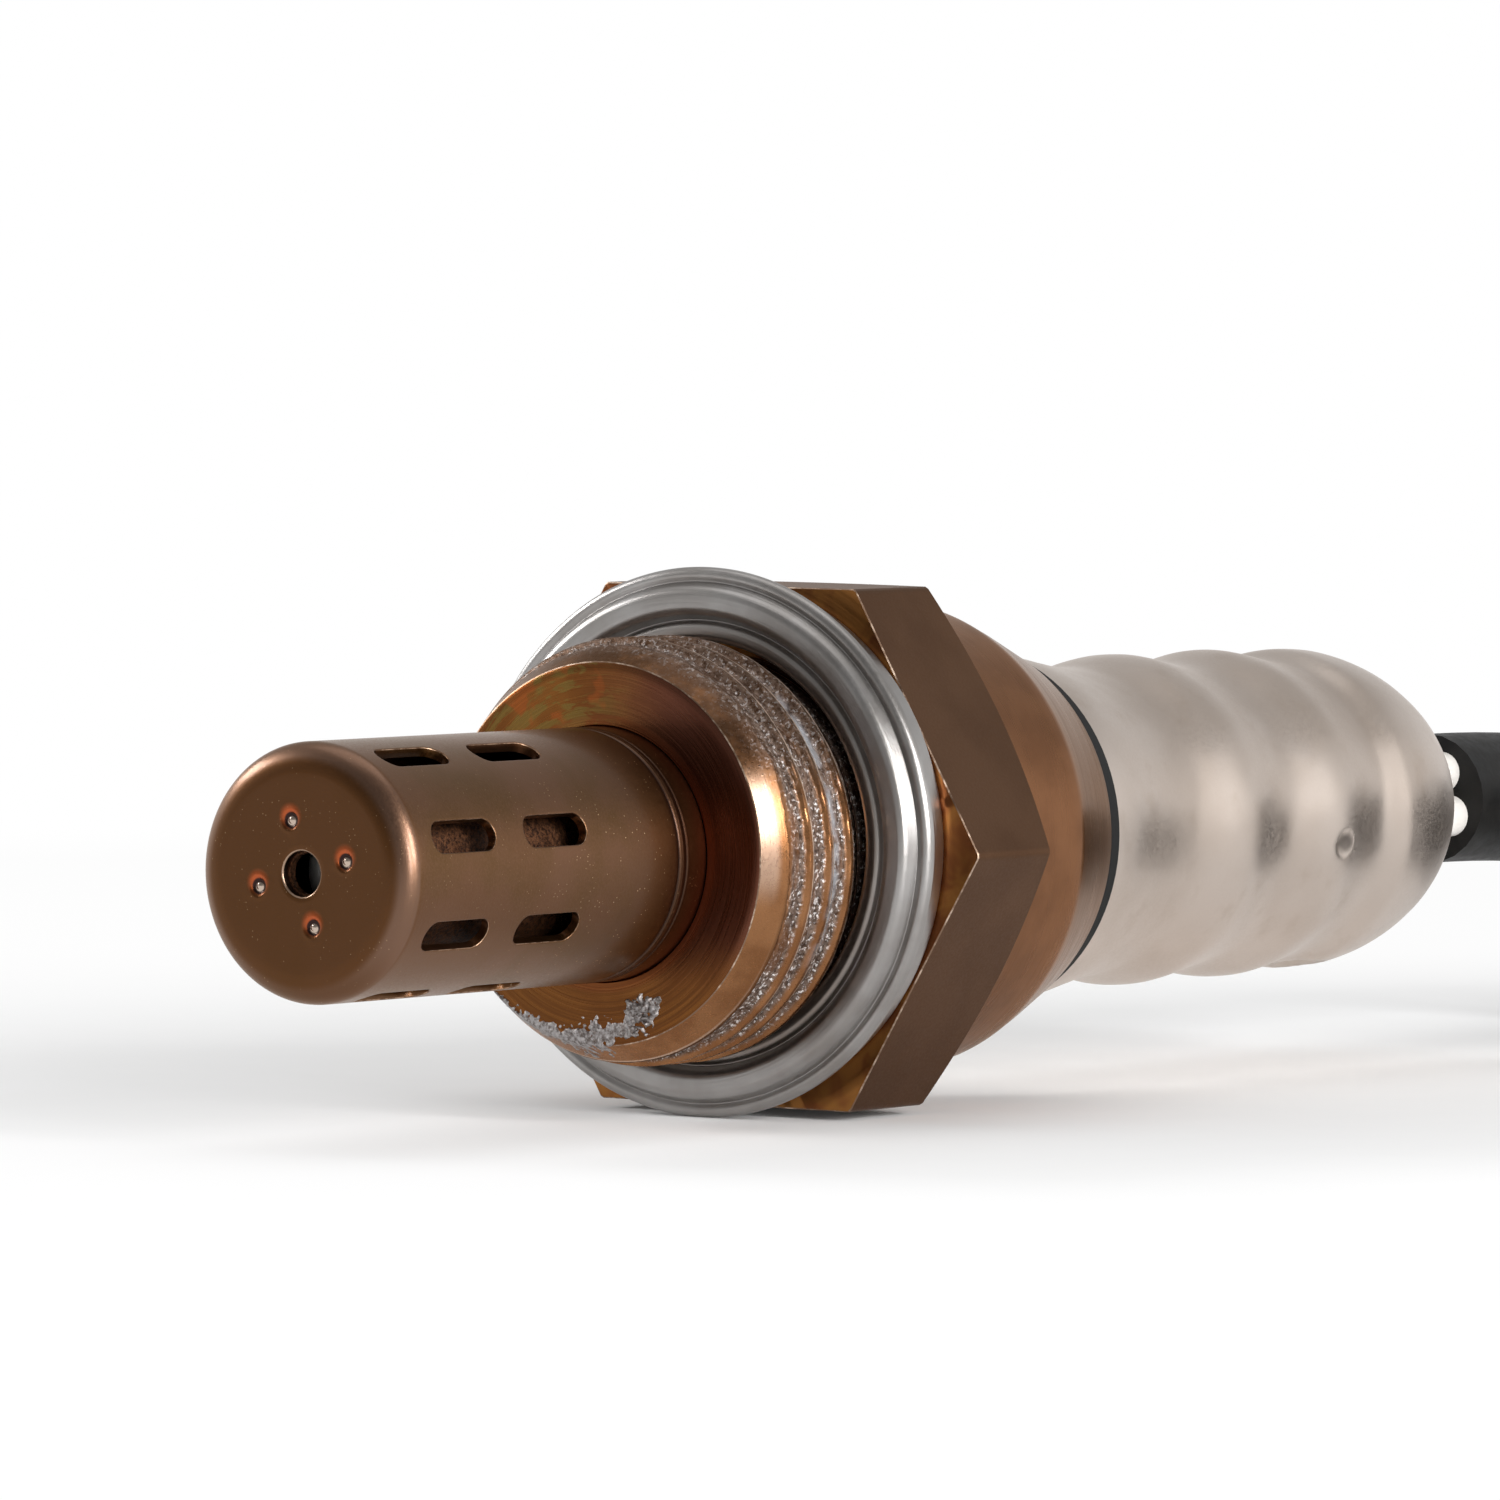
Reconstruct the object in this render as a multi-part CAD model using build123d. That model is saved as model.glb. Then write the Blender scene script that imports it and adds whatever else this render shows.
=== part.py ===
from build123d import *
from math import asin, cos, degrees, pi, radians, sin, tan
import os

# A heated thimble-type exhaust oxygen sensor with its lead and connector.
# The sensor lies along X: its tip points to -X, its lead leaves towards +X, and +Z is up.
# The origin is on the sensor's axis in the gasket seat, the hexagon's front face.
# All sizes are in millimetres. Angles about X start at -Y and grow towards +Z.

# ---- clearances ----
slip = 0.05  # radial gap between pieces that are pushed together
nose_share = 0.98  # share of its radius that a rounded nose takes

# ---- housing: thread, hexagon and crimped collar ----
thread_radius = 9.0
thread_length = 9.44
thread_chamfer_depth = 1.0
thread_chamfer_length = 1.9
thread_relief_length = 3.4  # plain groove behind the thread, under the gasket
thread_relief_radius = 8.1
hex_across_flats = 22.0
hex_length = 6.5
hex_chamfer_angle = 30.0
collar_radius = 10.1
collar_length = 5.8
collar_root = 0.7  # cone at the collar's foot, on the hexagon
lip_length = 4.8
lip_wall = 0.4
front_rim_length = 2.0  # metal in front of the protection tubes' flanges

# ---- protection tubes ----
shield_radius = 5.32
shield_wall = 0.4
shield_reach = 21.14  # from the housing's front face to the closed end
shield_edge_radius = 0.97
slot_length = 4.4
slot_width = 1.35
slot_count = 8
slot_phase = 17.3
slot_from_tip = 4.12
slot_ring_pitch = 6.43
slot_rings = 2
gas_hole_radius = 0.92
weld_dimple_count = 4
weld_dimple_circle = 2.22
weld_dimple_phase = 15.0
weld_dimple_radius = 0.32
weld_dimple_depth = 0.12
inner_tube_radius = 3.9
inner_tube_wall = 0.35
inner_tube_edge_radius = 0.7
inner_gas_hole_radius = 0.84
inner_port_count = 6
inner_port_radius = 0.5
inner_port_from_face = 2.2
tube_flange_radius = 6.2

# ---- folded crush gasket ----
gasket_radius = 11.6
gasket_bore_radius = 8.5  # smaller than the thread, which keeps the gasket on the sensor
gasket_sheet = 0.25
gasket_thickness = 2.84
gasket_ring_setback = 0.34  # from the bead's front back to the ring inside it
gasket_valley_setback = 0.75  # from the bead's front back to the valley between it and the ring
gasket_groove_setback = 0.72  # from the bead's front back to the groove between it and the rim
gasket_rim_setback = 0.5
gasket_rim_length = 0.42
gasket_inner_gap = 0.3  # from the front skin down to the folded wall that backs it
gasket_ring_share = 0.172  # shares of the width, from the bore out, at which the strip turns
gasket_valley_share = 0.285
gasket_bead_share = 0.405
gasket_bead_end_share = 0.7
gasket_groove_share = 0.81
gasket_fold = 0.07  # folding radii, as shares of the width too
gasket_wave_fold = 0.06
gasket_bead_fold = 0.12
gasket_lift = 0.21  # it rests on the table, so it sits this far above the axis

# ---- element, heater and packing ----
element_radius = 2.6
element_wall = 0.8
element_tip_gap = 1.6
element_shoulder_radius = 5.4
element_shoulder_length = 4.6
element_shoulder_chamfer = 0.8
element_rear_radius = 3.6
element_rear_length = 15.0
throat_gap = 0.8
seat_depth = 1.0  # from the gasket seat back to the element's seat
seat_washer_thickness = 0.5
packing_radius = 8.65
talc_length = 3.0
packing_sleeve_length = 3.0
crimp_ring_length = 1.05
heater_radius = 1.4
heater_tip_chamfer = 0.35
heater_end_gap = 0.5
clip_length = 11.0
clip_flange_radius = 3.0
clip_flange_thickness = 0.4

# ---- rear sleeve ----
sleeve_wall = 0.45
sleeve_neck_radius = 7.75
sleeve_crimp_radius = 6.85
sleeve_bulge_radius = 7.34
sleeve_crimp_count = 3
sleeve_crimp_pitch = 7.95
sleeve_first_crimp = 8.25  # from the seal ring to the first crimp
sleeve_last_rise = 2.0  # from the last crimp to the last bulge
sleeve_last_bulge_radius = 7.25
sleeve_dome_length = 9.1
sleeve_mouth_radius = 3.5
seal_thickness = 0.28
seal_length = 2.9
seal_reach = 1.3
stake_radius = 1.3
stake_depth = 0.22
stake_angles = (-8.7, -88.0)

# ---- terminals, insulator and grommet ----
insulator_front_gap = 3.0  # from the element's rear end
insulator_length = 18.0
insulator_radius = 6.1
insulator_bore_radius = 1.3
insulator_chamfer = 0.3
insulator_pitch_radius = 3.2
heater_socket_depth = 5.0
spring_thickness = 0.25
spring_length = 5.0
spring_from_front = 1.0
barrel_length = 5.0
barrel_wall = 0.22
barrel_inset = 0.5
tongue_width = 2.1
tongue_thickness = 0.3
tongue_reach = 1.5  # in front of the insulator
wire_radius = 0.95
wire_pitch_radius = 1.45
wire_phase = 58.5
wire_spread_start = 3.5  # behind the insulator
wire_spread_length = 8.0
wire_bend_radius = 8.0
wire_gap = 3.75  # bare wires seen between grommet and sleeving
grommet_front_gap = 0.5
grommet_nose_length = 0.5

# ---- lead, its hank and tie ----
cord_radius = 3.0
cord_reach = 0.45  # share of the shorter run that an arc may use
cord_drop_points = ((18.5, 0.0), (41.5, 7.0), (59.5, 7.0))  # x from the exit, y
hank_length = 90.0
hank_axis_y = -4.5
hank_return_y = -16.0
hank_near_length = 7.0
hank_loop_radius = 20.5
hank_neck_from_face = 25.0
hank_neck_lap = 1.0  # how far the neck reaches into the bulbs beside it
tie_width = 8.0
tie_thickness = 0.8
tie_head_length = 5.0
tie_head_height = 3.6

# ---- connector ----
connector_width = 25.0
connector_height = 14.0
connector_length = 31.5
connector_corner = 2.0
connector_inner_corner = 1.0
connector_wall = 2.0
connector_cavity_depth = 17.0
connector_rib_height = 1.2
connector_rib_width = 1.6
connector_rib_inset = 2.65  # from the rounding of the housing's long edge
catch_width = 6.0
catch_length = 3.5
catch_height = 1.8
catch_from_mouth = 7.0
boot_length = 12.0
boot_nozzle_radius = 3.4
boot_nozzle_length = 5.0
boot_body_inset = 1.5
pin_count = 4
pin_pitch = 4.5
pin_width = 1.5
pin_thickness = 0.64
pin_chamfer = 0.16
pin_reach = 12.0  # into the cavity
pin_root = 9.0  # into the body
lock_width = 12.5
lock_length = 4.0
lock_height = 1.6
lock_from_cavity = 4.0

# ---- stations along X, worked out from the sizes ----
face_x = -thread_length
tip_x = face_x - shield_reach
collar_end_x = hex_length + collar_length
lip_end_x = collar_end_x + lip_length
flange_pocket_x = face_x + front_rim_length
throat_x = flange_pocket_x + shield_wall + inner_tube_wall
shoulder_x = seat_depth + seat_washer_thickness
shoulder_end_x = shoulder_x + element_shoulder_length
packing_sleeve_x = shoulder_end_x + talc_length
sleeve_flange_x = packing_sleeve_x + packing_sleeve_length
crimp_ring_x = sleeve_flange_x + sleeve_wall
lip_x = crimp_ring_x + crimp_ring_length
neck_end_x = lip_end_x + seal_reach
element_end_x = shoulder_end_x + element_rear_length
element_tip_x = tip_x + shield_wall + inner_tube_wall + element_tip_gap
insulator_x = element_end_x + insulator_front_gap
insulator_end_x = insulator_x + insulator_length
grommet_x = insulator_end_x + grommet_front_gap
first_crimp_x = neck_end_x + sleeve_first_crimp
last_bulge_x = first_crimp_x + (sleeve_crimp_count - 1) * sleeve_crimp_pitch + sleeve_last_rise
mouth_x = last_bulge_x + sleeve_dome_length
grommet_end_x = mouth_x + grommet_nose_length
exit_x = grommet_end_x + wire_gap

# ---- radii worked out from the sizes ----
hex_corner_radius = hex_across_flats / 2 / cos(radians(30))
throat_radius = element_radius + throat_gap
shoulder_bore_radius = element_shoulder_radius + slip
seal_radius = sleeve_neck_radius + seal_thickness
lip_bore_radius = seal_radius + slip
lip_end_radius = lip_bore_radius + lip_wall
element_bore_radius = element_radius - element_wall
barrel_radius = wire_radius + barrel_wall
dome_drop = sleeve_last_bulge_radius - sleeve_mouth_radius
dome_radius = (sleeve_dome_length**2 + dome_drop**2) / (2 * dome_drop)
dome_sweep = degrees(asin(sleeve_dome_length / dome_radius))
mouth_bore_radius = sleeve_mouth_radius - sleeve_wall * cos(radians(dome_sweep))

# ---- the surface it lies on, and the lead's route ----
floor_z = gasket_lift - gasket_radius
cord_z = floor_z + cord_radius
lead_start, lead_turn, lead_end = cord_drop_points
lead_route = [
    (exit_x, 0, 0),
    (exit_x + lead_start[0], lead_start[1], 0),
    (exit_x + lead_turn[0], lead_turn[1], cord_z),
    (exit_x + lead_end[0], lead_end[1], cord_z),
]
hank_x = lead_route[-1][0]
hank_end_x = hank_x + hank_length
neck_x = hank_x + hank_neck_from_face
neck_z = floor_z + tie_thickness + cord_radius
connector_z = floor_z + connector_height / 2
boot_end_x = hank_x - boot_length
mouth_face_x = boot_end_x - connector_length
cavity_floor_x = mouth_face_x + connector_cavity_depth


def turned(*profile):
    """A solid turned about X from (x, radius) points."""
    return revolve(make_face(Polyline(*profile, close=True)), Axis.X)


def ring(start_x, end_x, outer_radius, inner_radius):
    """A plain ring or tube about X."""
    return turned(
        (start_x, inner_radius), (end_x, inner_radius), (end_x, outer_radius), (start_x, outer_radius)
    )


def rod(start_x, end_x, radius, y=0.0, z=0.0):
    """A round bar along X."""
    bar = Cylinder(radius, end_x - start_x, align=(Align.CENTER, Align.CENTER, Align.MIN))
    return Pos(start_x, y, z) * Rot(0, 90, 0) * bar


def block(start_x, end_x, width, height, y=0.0, z=0.0):
    """A rectangular bar along X."""
    return Pos((start_x + end_x) / 2, y, z) * Box(end_x - start_x, width, height)


def around(angle, piece):
    """The piece turned about X, from -Y towards +Z."""
    return Rot(-angle, 0, 0) * piece


def polar(radius, angle):
    """Y and Z of a point at this radius and angle."""
    return -radius * cos(radians(angle)), radius * sin(radians(angle))


def round_tube(path, radius):
    """A round bar swept along a path of lines and tangent arcs."""
    return sweep(Plane(path @ 0, z_dir=path % 0) * Circle(radius), path=path)


def outer_protection_tube():
    body = rod(tip_x, throat_x - inner_tube_wall, shield_radius)
    body = fillet(body.edges().sort_by(Axis.X)[0], shield_edge_radius)
    bore_radius = shield_radius - shield_wall
    bore = rod(tip_x + shield_wall, throat_x, bore_radius)
    bore = fillet(bore.edges().sort_by(Axis.X)[0], max(shield_edge_radius - shield_wall, slip))
    body += ring(flange_pocket_x, throat_x - inner_tube_wall, tube_flange_radius, shield_radius - slip)
    body -= bore
    slot = SlotOverall(slot_length, slot_width)
    for ring_number in range(slot_rings):
        slot_x = tip_x + slot_from_tip + ring_number * slot_ring_pitch
        cutter = extrude(Plane.XZ.offset(bore_radius / 2) * Pos(slot_x, 0) * slot, amount=shield_radius)
        for number in range(slot_count):
            body -= around(slot_phase + number * 360 / slot_count, cutter)
    body -= rod(tip_x - shield_wall, tip_x + 2 * shield_wall, gas_hole_radius)
    for number in range(weld_dimple_count):
        y, z = polar(weld_dimple_circle, weld_dimple_phase + number * 360 / weld_dimple_count)
        body -= rod(tip_x - shield_wall, tip_x + weld_dimple_depth, weld_dimple_radius, y, z)
    return body


def inner_protection_tube():
    start_x = tip_x + shield_wall
    body = rod(start_x, throat_x, inner_tube_radius)
    body = fillet(body.edges().sort_by(Axis.X)[0], inner_tube_edge_radius)
    body += ring(throat_x - inner_tube_wall, throat_x, tube_flange_radius, inner_tube_radius - slip)
    bore = rod(start_x + inner_tube_wall, throat_x, inner_tube_radius - inner_tube_wall)
    body -= fillet(bore.edges().sort_by(Axis.X)[0], inner_tube_edge_radius - inner_tube_wall)
    body -= rod(start_x - inner_tube_wall, start_x + 2 * inner_tube_wall, inner_gas_hole_radius)
    port = Pos(face_x - inner_port_from_face, 0, 0) * Rot(90, 0, 0) * Cylinder(
        inner_port_radius, 2 * inner_tube_radius, align=(Align.CENTER, Align.CENTER, Align.MIN)
    )
    for number in range(inner_port_count):
        body -= around(number * 360 / inner_port_count, port)
    return body


def sensor_housing():
    hexagon = Plane.YZ * RegularPolygon(hex_corner_radius, 6)
    hexagon = extrude(hexagon, amount=hex_length)
    chamfer_drop = (hex_corner_radius - hex_across_flats / 2) * tan(radians(hex_chamfer_angle))
    hexagon &= turned(
        (0, 0),
        (0, hex_corner_radius),
        (hex_length - chamfer_drop, hex_corner_radius),
        (hex_length, hex_across_flats / 2),
        (hex_length, 0),
    )
    thread = turned(
        (face_x, 0),
        (face_x, thread_radius - thread_chamfer_depth),
        (face_x + thread_chamfer_length, thread_radius),
        (-thread_relief_length, thread_radius),
        (-thread_relief_length, thread_relief_radius),
        (0, thread_relief_radius),
        (0, 0),
    )
    collar = turned(
        (hex_length, 0),
        (hex_length, collar_radius + collar_root),
        (hex_length + collar_root, collar_radius),
        (collar_end_x, collar_radius),
        (lip_end_x, lip_end_radius),
        (lip_end_x, 0),
    )
    bore = turned(
        (face_x, 0),
        (face_x, shield_radius + slip),
        (flange_pocket_x, shield_radius + slip),
        (flange_pocket_x, tube_flange_radius + slip),
        (throat_x, tube_flange_radius + slip),
        (throat_x, throat_radius),
        (seat_depth, throat_radius),
        (seat_depth, shoulder_bore_radius),
        (shoulder_end_x, shoulder_bore_radius),
        (shoulder_end_x, packing_radius),
        (lip_x, packing_radius),
        (lip_x, lip_bore_radius),
        (lip_end_x, lip_bore_radius),
        (lip_end_x, 0),
    )
    return thread + hexagon + collar - bore


def crush_gasket():
    """A strip folded round its bore, waved over its front and turned down at its rim."""
    half = gasket_sheet / 2
    front_x = half - gasket_thickness
    ring_x = front_x + gasket_ring_setback
    valley_x = front_x + gasket_valley_setback
    groove_x = front_x + gasket_groove_setback
    rim_x = front_x + gasket_rim_setback
    bore_side = gasket_bore_radius + half
    outer_side = gasket_radius - half
    width = outer_side - bore_side
    wall_side = bore_side + gasket_groove_share * width
    bead_folds = (gasket_wave_fold, gasket_bead_fold, gasket_bead_fold, gasket_wave_fold)
    fold_shares = (gasket_fold,) * 4 + bead_folds + (gasket_fold,)
    fold = FilletPolyline(
        (groove_x + gasket_sheet + gasket_inner_gap, wall_side),
        (-half, wall_side),
        (-half, bore_side),
        (ring_x, bore_side),
        (ring_x, bore_side + gasket_ring_share * width),
        (valley_x, bore_side + gasket_valley_share * width),
        (front_x, bore_side + gasket_bead_share * width),
        (front_x, bore_side + gasket_bead_end_share * width),
        (groove_x, wall_side),
        (rim_x, outer_side),
        (rim_x + gasket_rim_length, outer_side),
        radius=[share * width for share in fold_shares],
    )
    return Pos(0, 0, gasket_lift) * revolve(trace(fold, gasket_sheet), Axis.X)


def lip_seal_ring():
    start_x = lip_end_x + seal_reach - seal_length
    return ring(start_x, lip_end_x + seal_reach, seal_radius, sleeve_neck_radius + slip / 2)


def sleeve_form(inset):
    """The rear sleeve's outline turned solid, drawn in from the outside by the inset."""
    start = (sleeve_flange_x, sleeve_neck_radius - inset)
    wave = [(neck_end_x, sleeve_neck_radius - inset)]
    for number in range(sleeve_crimp_count):
        crimp_x = first_crimp_x + number * sleeve_crimp_pitch
        wave.append((crimp_x, sleeve_crimp_radius - inset))
        wave.append((crimp_x + sleeve_crimp_pitch / 2, sleeve_bulge_radius - inset))
    wave[-1] = (last_bulge_x, sleeve_last_bulge_radius - inset)
    neck = Line(start, wave[0])
    waist = Spline(*wave, tangents=[(1, 0)] * len(wave))
    dome_centre = (last_bulge_x, sleeve_last_bulge_radius - dome_radius)
    dome = CenterArc(dome_centre, dome_radius - inset, 90, -dome_sweep)
    end_x = (dome @ 1).X
    closing = Polyline((end_x, (dome @ 1).Y), (end_x, 0), (sleeve_flange_x, 0), start)
    return revolve(make_face(neck + waist + dome + closing), Axis.X)


def rear_sleeve():
    body = sleeve_form(0) - sleeve_form(sleeve_wall)
    body += ring(sleeve_flange_x, crimp_ring_x, packing_radius - slip, sleeve_neck_radius - sleeve_wall)
    body -= rod(last_bulge_x, mouth_x + sleeve_wall, mouth_bore_radius)
    bulge_x = first_crimp_x + (sleeve_crimp_count - 1.5) * sleeve_crimp_pitch
    bulges = ((bulge_x, sleeve_bulge_radius), (last_bulge_x, sleeve_last_bulge_radius))
    for (bulge_x, bulge_radius), angle in zip(bulges, stake_angles):
        y, z = polar(bulge_radius + stake_radius - stake_depth, angle)
        body -= Pos(bulge_x, y, z) * Sphere(stake_radius)
    return body


def zirconia_element():
    nose = rod(element_tip_x, shoulder_x, element_radius)
    nose = fillet(nose.edges().sort_by(Axis.X)[0], element_radius * nose_share)
    shoulder = rod(shoulder_x, shoulder_end_x, element_shoulder_radius)
    shoulder = chamfer(shoulder.edges().sort_by(Axis.X)[0], element_shoulder_chamfer)
    bore = rod(element_tip_x + element_wall, element_end_x, element_bore_radius)
    bore = fillet(bore.edges().sort_by(Axis.X)[0], element_bore_radius * nose_share)
    return nose + shoulder + rod(shoulder_end_x, element_end_x, element_rear_radius) - bore


def heater_rod():
    start_x = element_tip_x + element_wall + heater_end_gap
    bar = rod(start_x, insulator_x + heater_socket_depth - heater_end_gap, heater_radius)
    return chamfer(bar.edges().sort_by(Axis.X)[0], heater_tip_chamfer)


def inner_contact_clip():
    body = ring(element_end_x - clip_length, element_end_x, element_bore_radius - slip, heater_radius + slip)
    flange_end_x = element_end_x + clip_flange_thickness
    return body + ring(element_end_x, flange_end_x, clip_flange_radius, heater_radius + slip)


def seat_washer():
    return ring(seat_depth, shoulder_x, element_shoulder_radius, throat_radius + slip)


def packing_ring(start_x, end_x):
    """A ring that fills the housing's packing bore round the element."""
    return ring(start_x, end_x, packing_radius - slip, element_rear_radius + slip)


def crimp_ring():
    return ring(crimp_ring_x, lip_x, packing_radius - slip, sleeve_neck_radius + slip)


def wire_angle(number):
    return wire_phase + number * 90


def terminal_insulator():
    body = rod(insulator_x, insulator_end_x, insulator_radius)
    body = chamfer(body.edges().sort_by(Axis.X)[0], insulator_chamfer)
    body -= rod(insulator_x, insulator_x + heater_socket_depth, heater_radius + slip)
    for number in range(4):
        y, z = polar(insulator_pitch_radius, wire_angle(number))
        body -= rod(insulator_x, insulator_end_x, insulator_bore_radius, y, z)
    return body


def retaining_spring():
    start_x = insulator_x + spring_from_front
    inner_radius = insulator_radius + slip / 2
    return ring(start_x, start_x + spring_length, inner_radius + spring_thickness, inner_radius)


def terminal(number):
    """A flat tongue with a crimp barrel, lying in one of the insulator's bores."""
    barrel_x = insulator_end_x - barrel_inset - barrel_length
    y, z = polar(insulator_pitch_radius, wire_angle(number))
    barrel = rod(barrel_x, barrel_x + barrel_length, barrel_radius, y, z)
    barrel -= rod(barrel_x, barrel_x + barrel_length, wire_radius + slip / 2, y, z)
    tongue = block(insulator_x - tongue_reach, barrel_x + barrel_wall, tongue_width, tongue_thickness, y, z)
    return barrel + tongue


def wire_path(number):
    """One wire's line from its crimp barrel to the mouth of the sleeving."""
    start_x = insulator_end_x - barrel_inset - barrel_length + 2 * barrel_wall
    spread_x = insulator_end_x + wire_spread_start
    wide = polar(insulator_pitch_radius, wire_angle(number))
    narrow = polar(wire_pitch_radius, wire_angle(number))
    return FilletPolyline(
        (start_x, *wide),
        (spread_x, *wide),
        (spread_x + wire_spread_length, *narrow),
        (exit_x, *narrow),
        radius=wire_bend_radius,
    )


def rear_grommet():
    body = sleeve_form(sleeve_wall + slip)
    body &= rod(grommet_x, exit_x, sleeve_bulge_radius)
    body += rod(last_bulge_x, grommet_end_x, mouth_bore_radius - slip)
    for number in range(4):
        body -= round_tube(wire_path(number), wire_radius + slip)
    return body


def cord_path(route):
    """Straight runs joined by arcs as large as the runs beside them allow."""
    points = [Vector(*point) for point in route]
    radii = []
    for before, corner, after in zip(points, points[1:], points[2:]):
        turn = (corner - before).get_angle(after - corner)
        shorter = min((corner - before).length, (after - corner).length)
        radii.append(cord_reach * shorter / tan(radians(turn / 2)))
    print("arc radii of the lead", [round(radius, 1) for radius in radii])
    return FilletPolyline(*points, radius=radii)


def lead_sleeving():
    path = cord_path(lead_route)
    tube = round_tube(path, cord_radius)
    share = tube.volume / (path.length * pi * cord_radius**2)
    print("lead length", round(path.length, 1), "volume share", round(share, 4))
    return tube


def hank_plate(sketch):
    return extrude(Plane.XY.offset(floor_z) * sketch, amount=2 * cord_radius)


def lead_hank():
    """The outer form of the folded lead: a near bulb, a tied neck and a far loop."""
    near_top = lead_end[1] + cord_radius
    near_bottom = hank_return_y - cord_radius
    near_face = Rectangle(hank_near_length, near_top - near_bottom)
    near_face = Pos(hank_x + hank_near_length / 2, (near_top + near_bottom) / 2) * near_face
    neck_width = 4 * cord_radius
    lap = Rectangle(hank_neck_lap, neck_width)
    near_neck = Pos(neck_x - slip - hank_neck_lap / 2, hank_axis_y) * lap
    far_neck = Pos(neck_x + tie_width + slip + hank_neck_lap / 2, hank_axis_y) * lap
    loop = Pos(hank_end_x - hank_loop_radius, hank_axis_y) * Circle(hank_loop_radius)
    near_bulb = hank_plate(make_hull(near_face.edges() + near_neck.edges()))
    far_bulb = hank_plate(make_hull(loop.edges() + far_neck.edges()))
    neck_section = Plane.YZ * Pos(hank_axis_y, neck_z) * SlotOverall(neck_width, 2 * cord_radius)
    neck = Pos(neck_x - hank_neck_lap, 0, 0) * extrude(neck_section, amount=tie_width + 2 * hank_neck_lap)
    return near_bulb + far_bulb + neck


def hank_tie():
    """A strap pulled round the two runs, with its square head at the side."""
    inner = SlotOverall(4 * cord_radius + 2 * slip, 2 * cord_radius + 2 * slip)
    outer = SlotOverall(4 * cord_radius + 2 * tie_thickness, 2 * cord_radius + 2 * tie_thickness)
    place = Plane.YZ * Pos(hank_axis_y, neck_z)
    strap = extrude(place * (outer - inner), amount=tie_width)
    head_y = hank_axis_y - 2 * cord_radius - tie_thickness - tie_head_height / 2 + tie_thickness / 2
    head = Pos(tie_width / 2, head_y, neck_z) * Box(tie_head_length, tie_head_height, tie_head_length)
    return Pos(neck_x, 0, 0) * (strap + head)


def connector_section(width, height, corner):
    return Plane.YZ * Pos(hank_return_y, connector_z) * RectangleRounded(width, height, corner)


def connector_boot():
    """A moulded boot that gathers from the housing's back down to the sleeving."""
    nozzle_z = floor_z + boot_nozzle_radius
    nozzle = Plane.YZ * Pos(hank_return_y, nozzle_z) * Circle(boot_nozzle_radius)
    nozzle_x = hank_x - boot_nozzle_length
    straight = Pos(nozzle_x, 0, 0) * extrude(nozzle, amount=boot_nozzle_length)
    width = connector_width - 2 * boot_body_inset
    height = connector_height - 2 * boot_body_inset
    base = connector_section(width, height, connector_corner)
    return straight + loft([Pos(boot_end_x, 0, 0) * base, Pos(nozzle_x, 0, 0) * nozzle])


def pin_places():
    first = hank_return_y - (pin_count - 1) / 2 * pin_pitch
    return [first + number * pin_pitch for number in range(pin_count)]


def connector_housing():
    shell = connector_section(connector_width, connector_height, connector_corner)
    body = Pos(mouth_face_x, 0, 0) * extrude(shell, amount=connector_length)
    inner_width = connector_width - 2 * connector_wall
    inner_height = connector_height - 2 * connector_wall
    cavity = connector_section(inner_width, inner_height, connector_inner_corner)
    body -= Pos(mouth_face_x, 0, 0) * extrude(cavity, amount=connector_cavity_depth)
    for y in pin_places():
        body -= block(
            cavity_floor_x, cavity_floor_x + pin_root, pin_width + slip, pin_thickness + slip, y, connector_z
        )
    top_z = connector_z + connector_height / 2
    catch_x = mouth_face_x + catch_from_mouth
    catch = Polyline(
        (catch_x, top_z), (catch_x + catch_length, top_z + catch_height),
        (catch_x + catch_length, top_z - connector_wall / 2), (catch_x, top_z - connector_wall / 2),
        close=True,
    )
    catch_plane = Plane.XZ.offset(-hank_return_y)
    body += extrude(catch_plane * make_face(catch), amount=catch_width / 2, both=True)
    for side in (-1, 1):
        rib_y = hank_return_y + side * (connector_width / 2 - connector_corner - connector_rib_inset)
        rib_z = top_z + connector_rib_height / 2 - slip
        body += block(
            mouth_face_x, boot_end_x, connector_rib_width, connector_rib_height + 2 * slip, rib_y, rib_z
        )
    body -= lock_window(slip)
    return body


def lock_window(gap):
    """The terminal lock's place in the housing's top wall."""
    start_x = cavity_floor_x + lock_from_cavity
    top_z = connector_z + connector_height / 2
    width = lock_width + 2 * gap
    height = lock_height + gap
    return block(start_x - gap, start_x + lock_length + gap, width, height, hank_return_y, top_z - height / 2)


def connector_pins():
    start_x = cavity_floor_x - pin_reach
    end_x = cavity_floor_x + pin_root
    pins = [block(start_x, end_x, pin_width, pin_thickness, y, connector_z) for y in pin_places()]
    return Compound(children=[chamfer_tip(pin) for pin in pins])


def chamfer_tip(pin):
    tip_face = pin.faces().sort_by(Axis.X)[0]
    return chamfer(tip_face.edges(), pin_chamfer)


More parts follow.
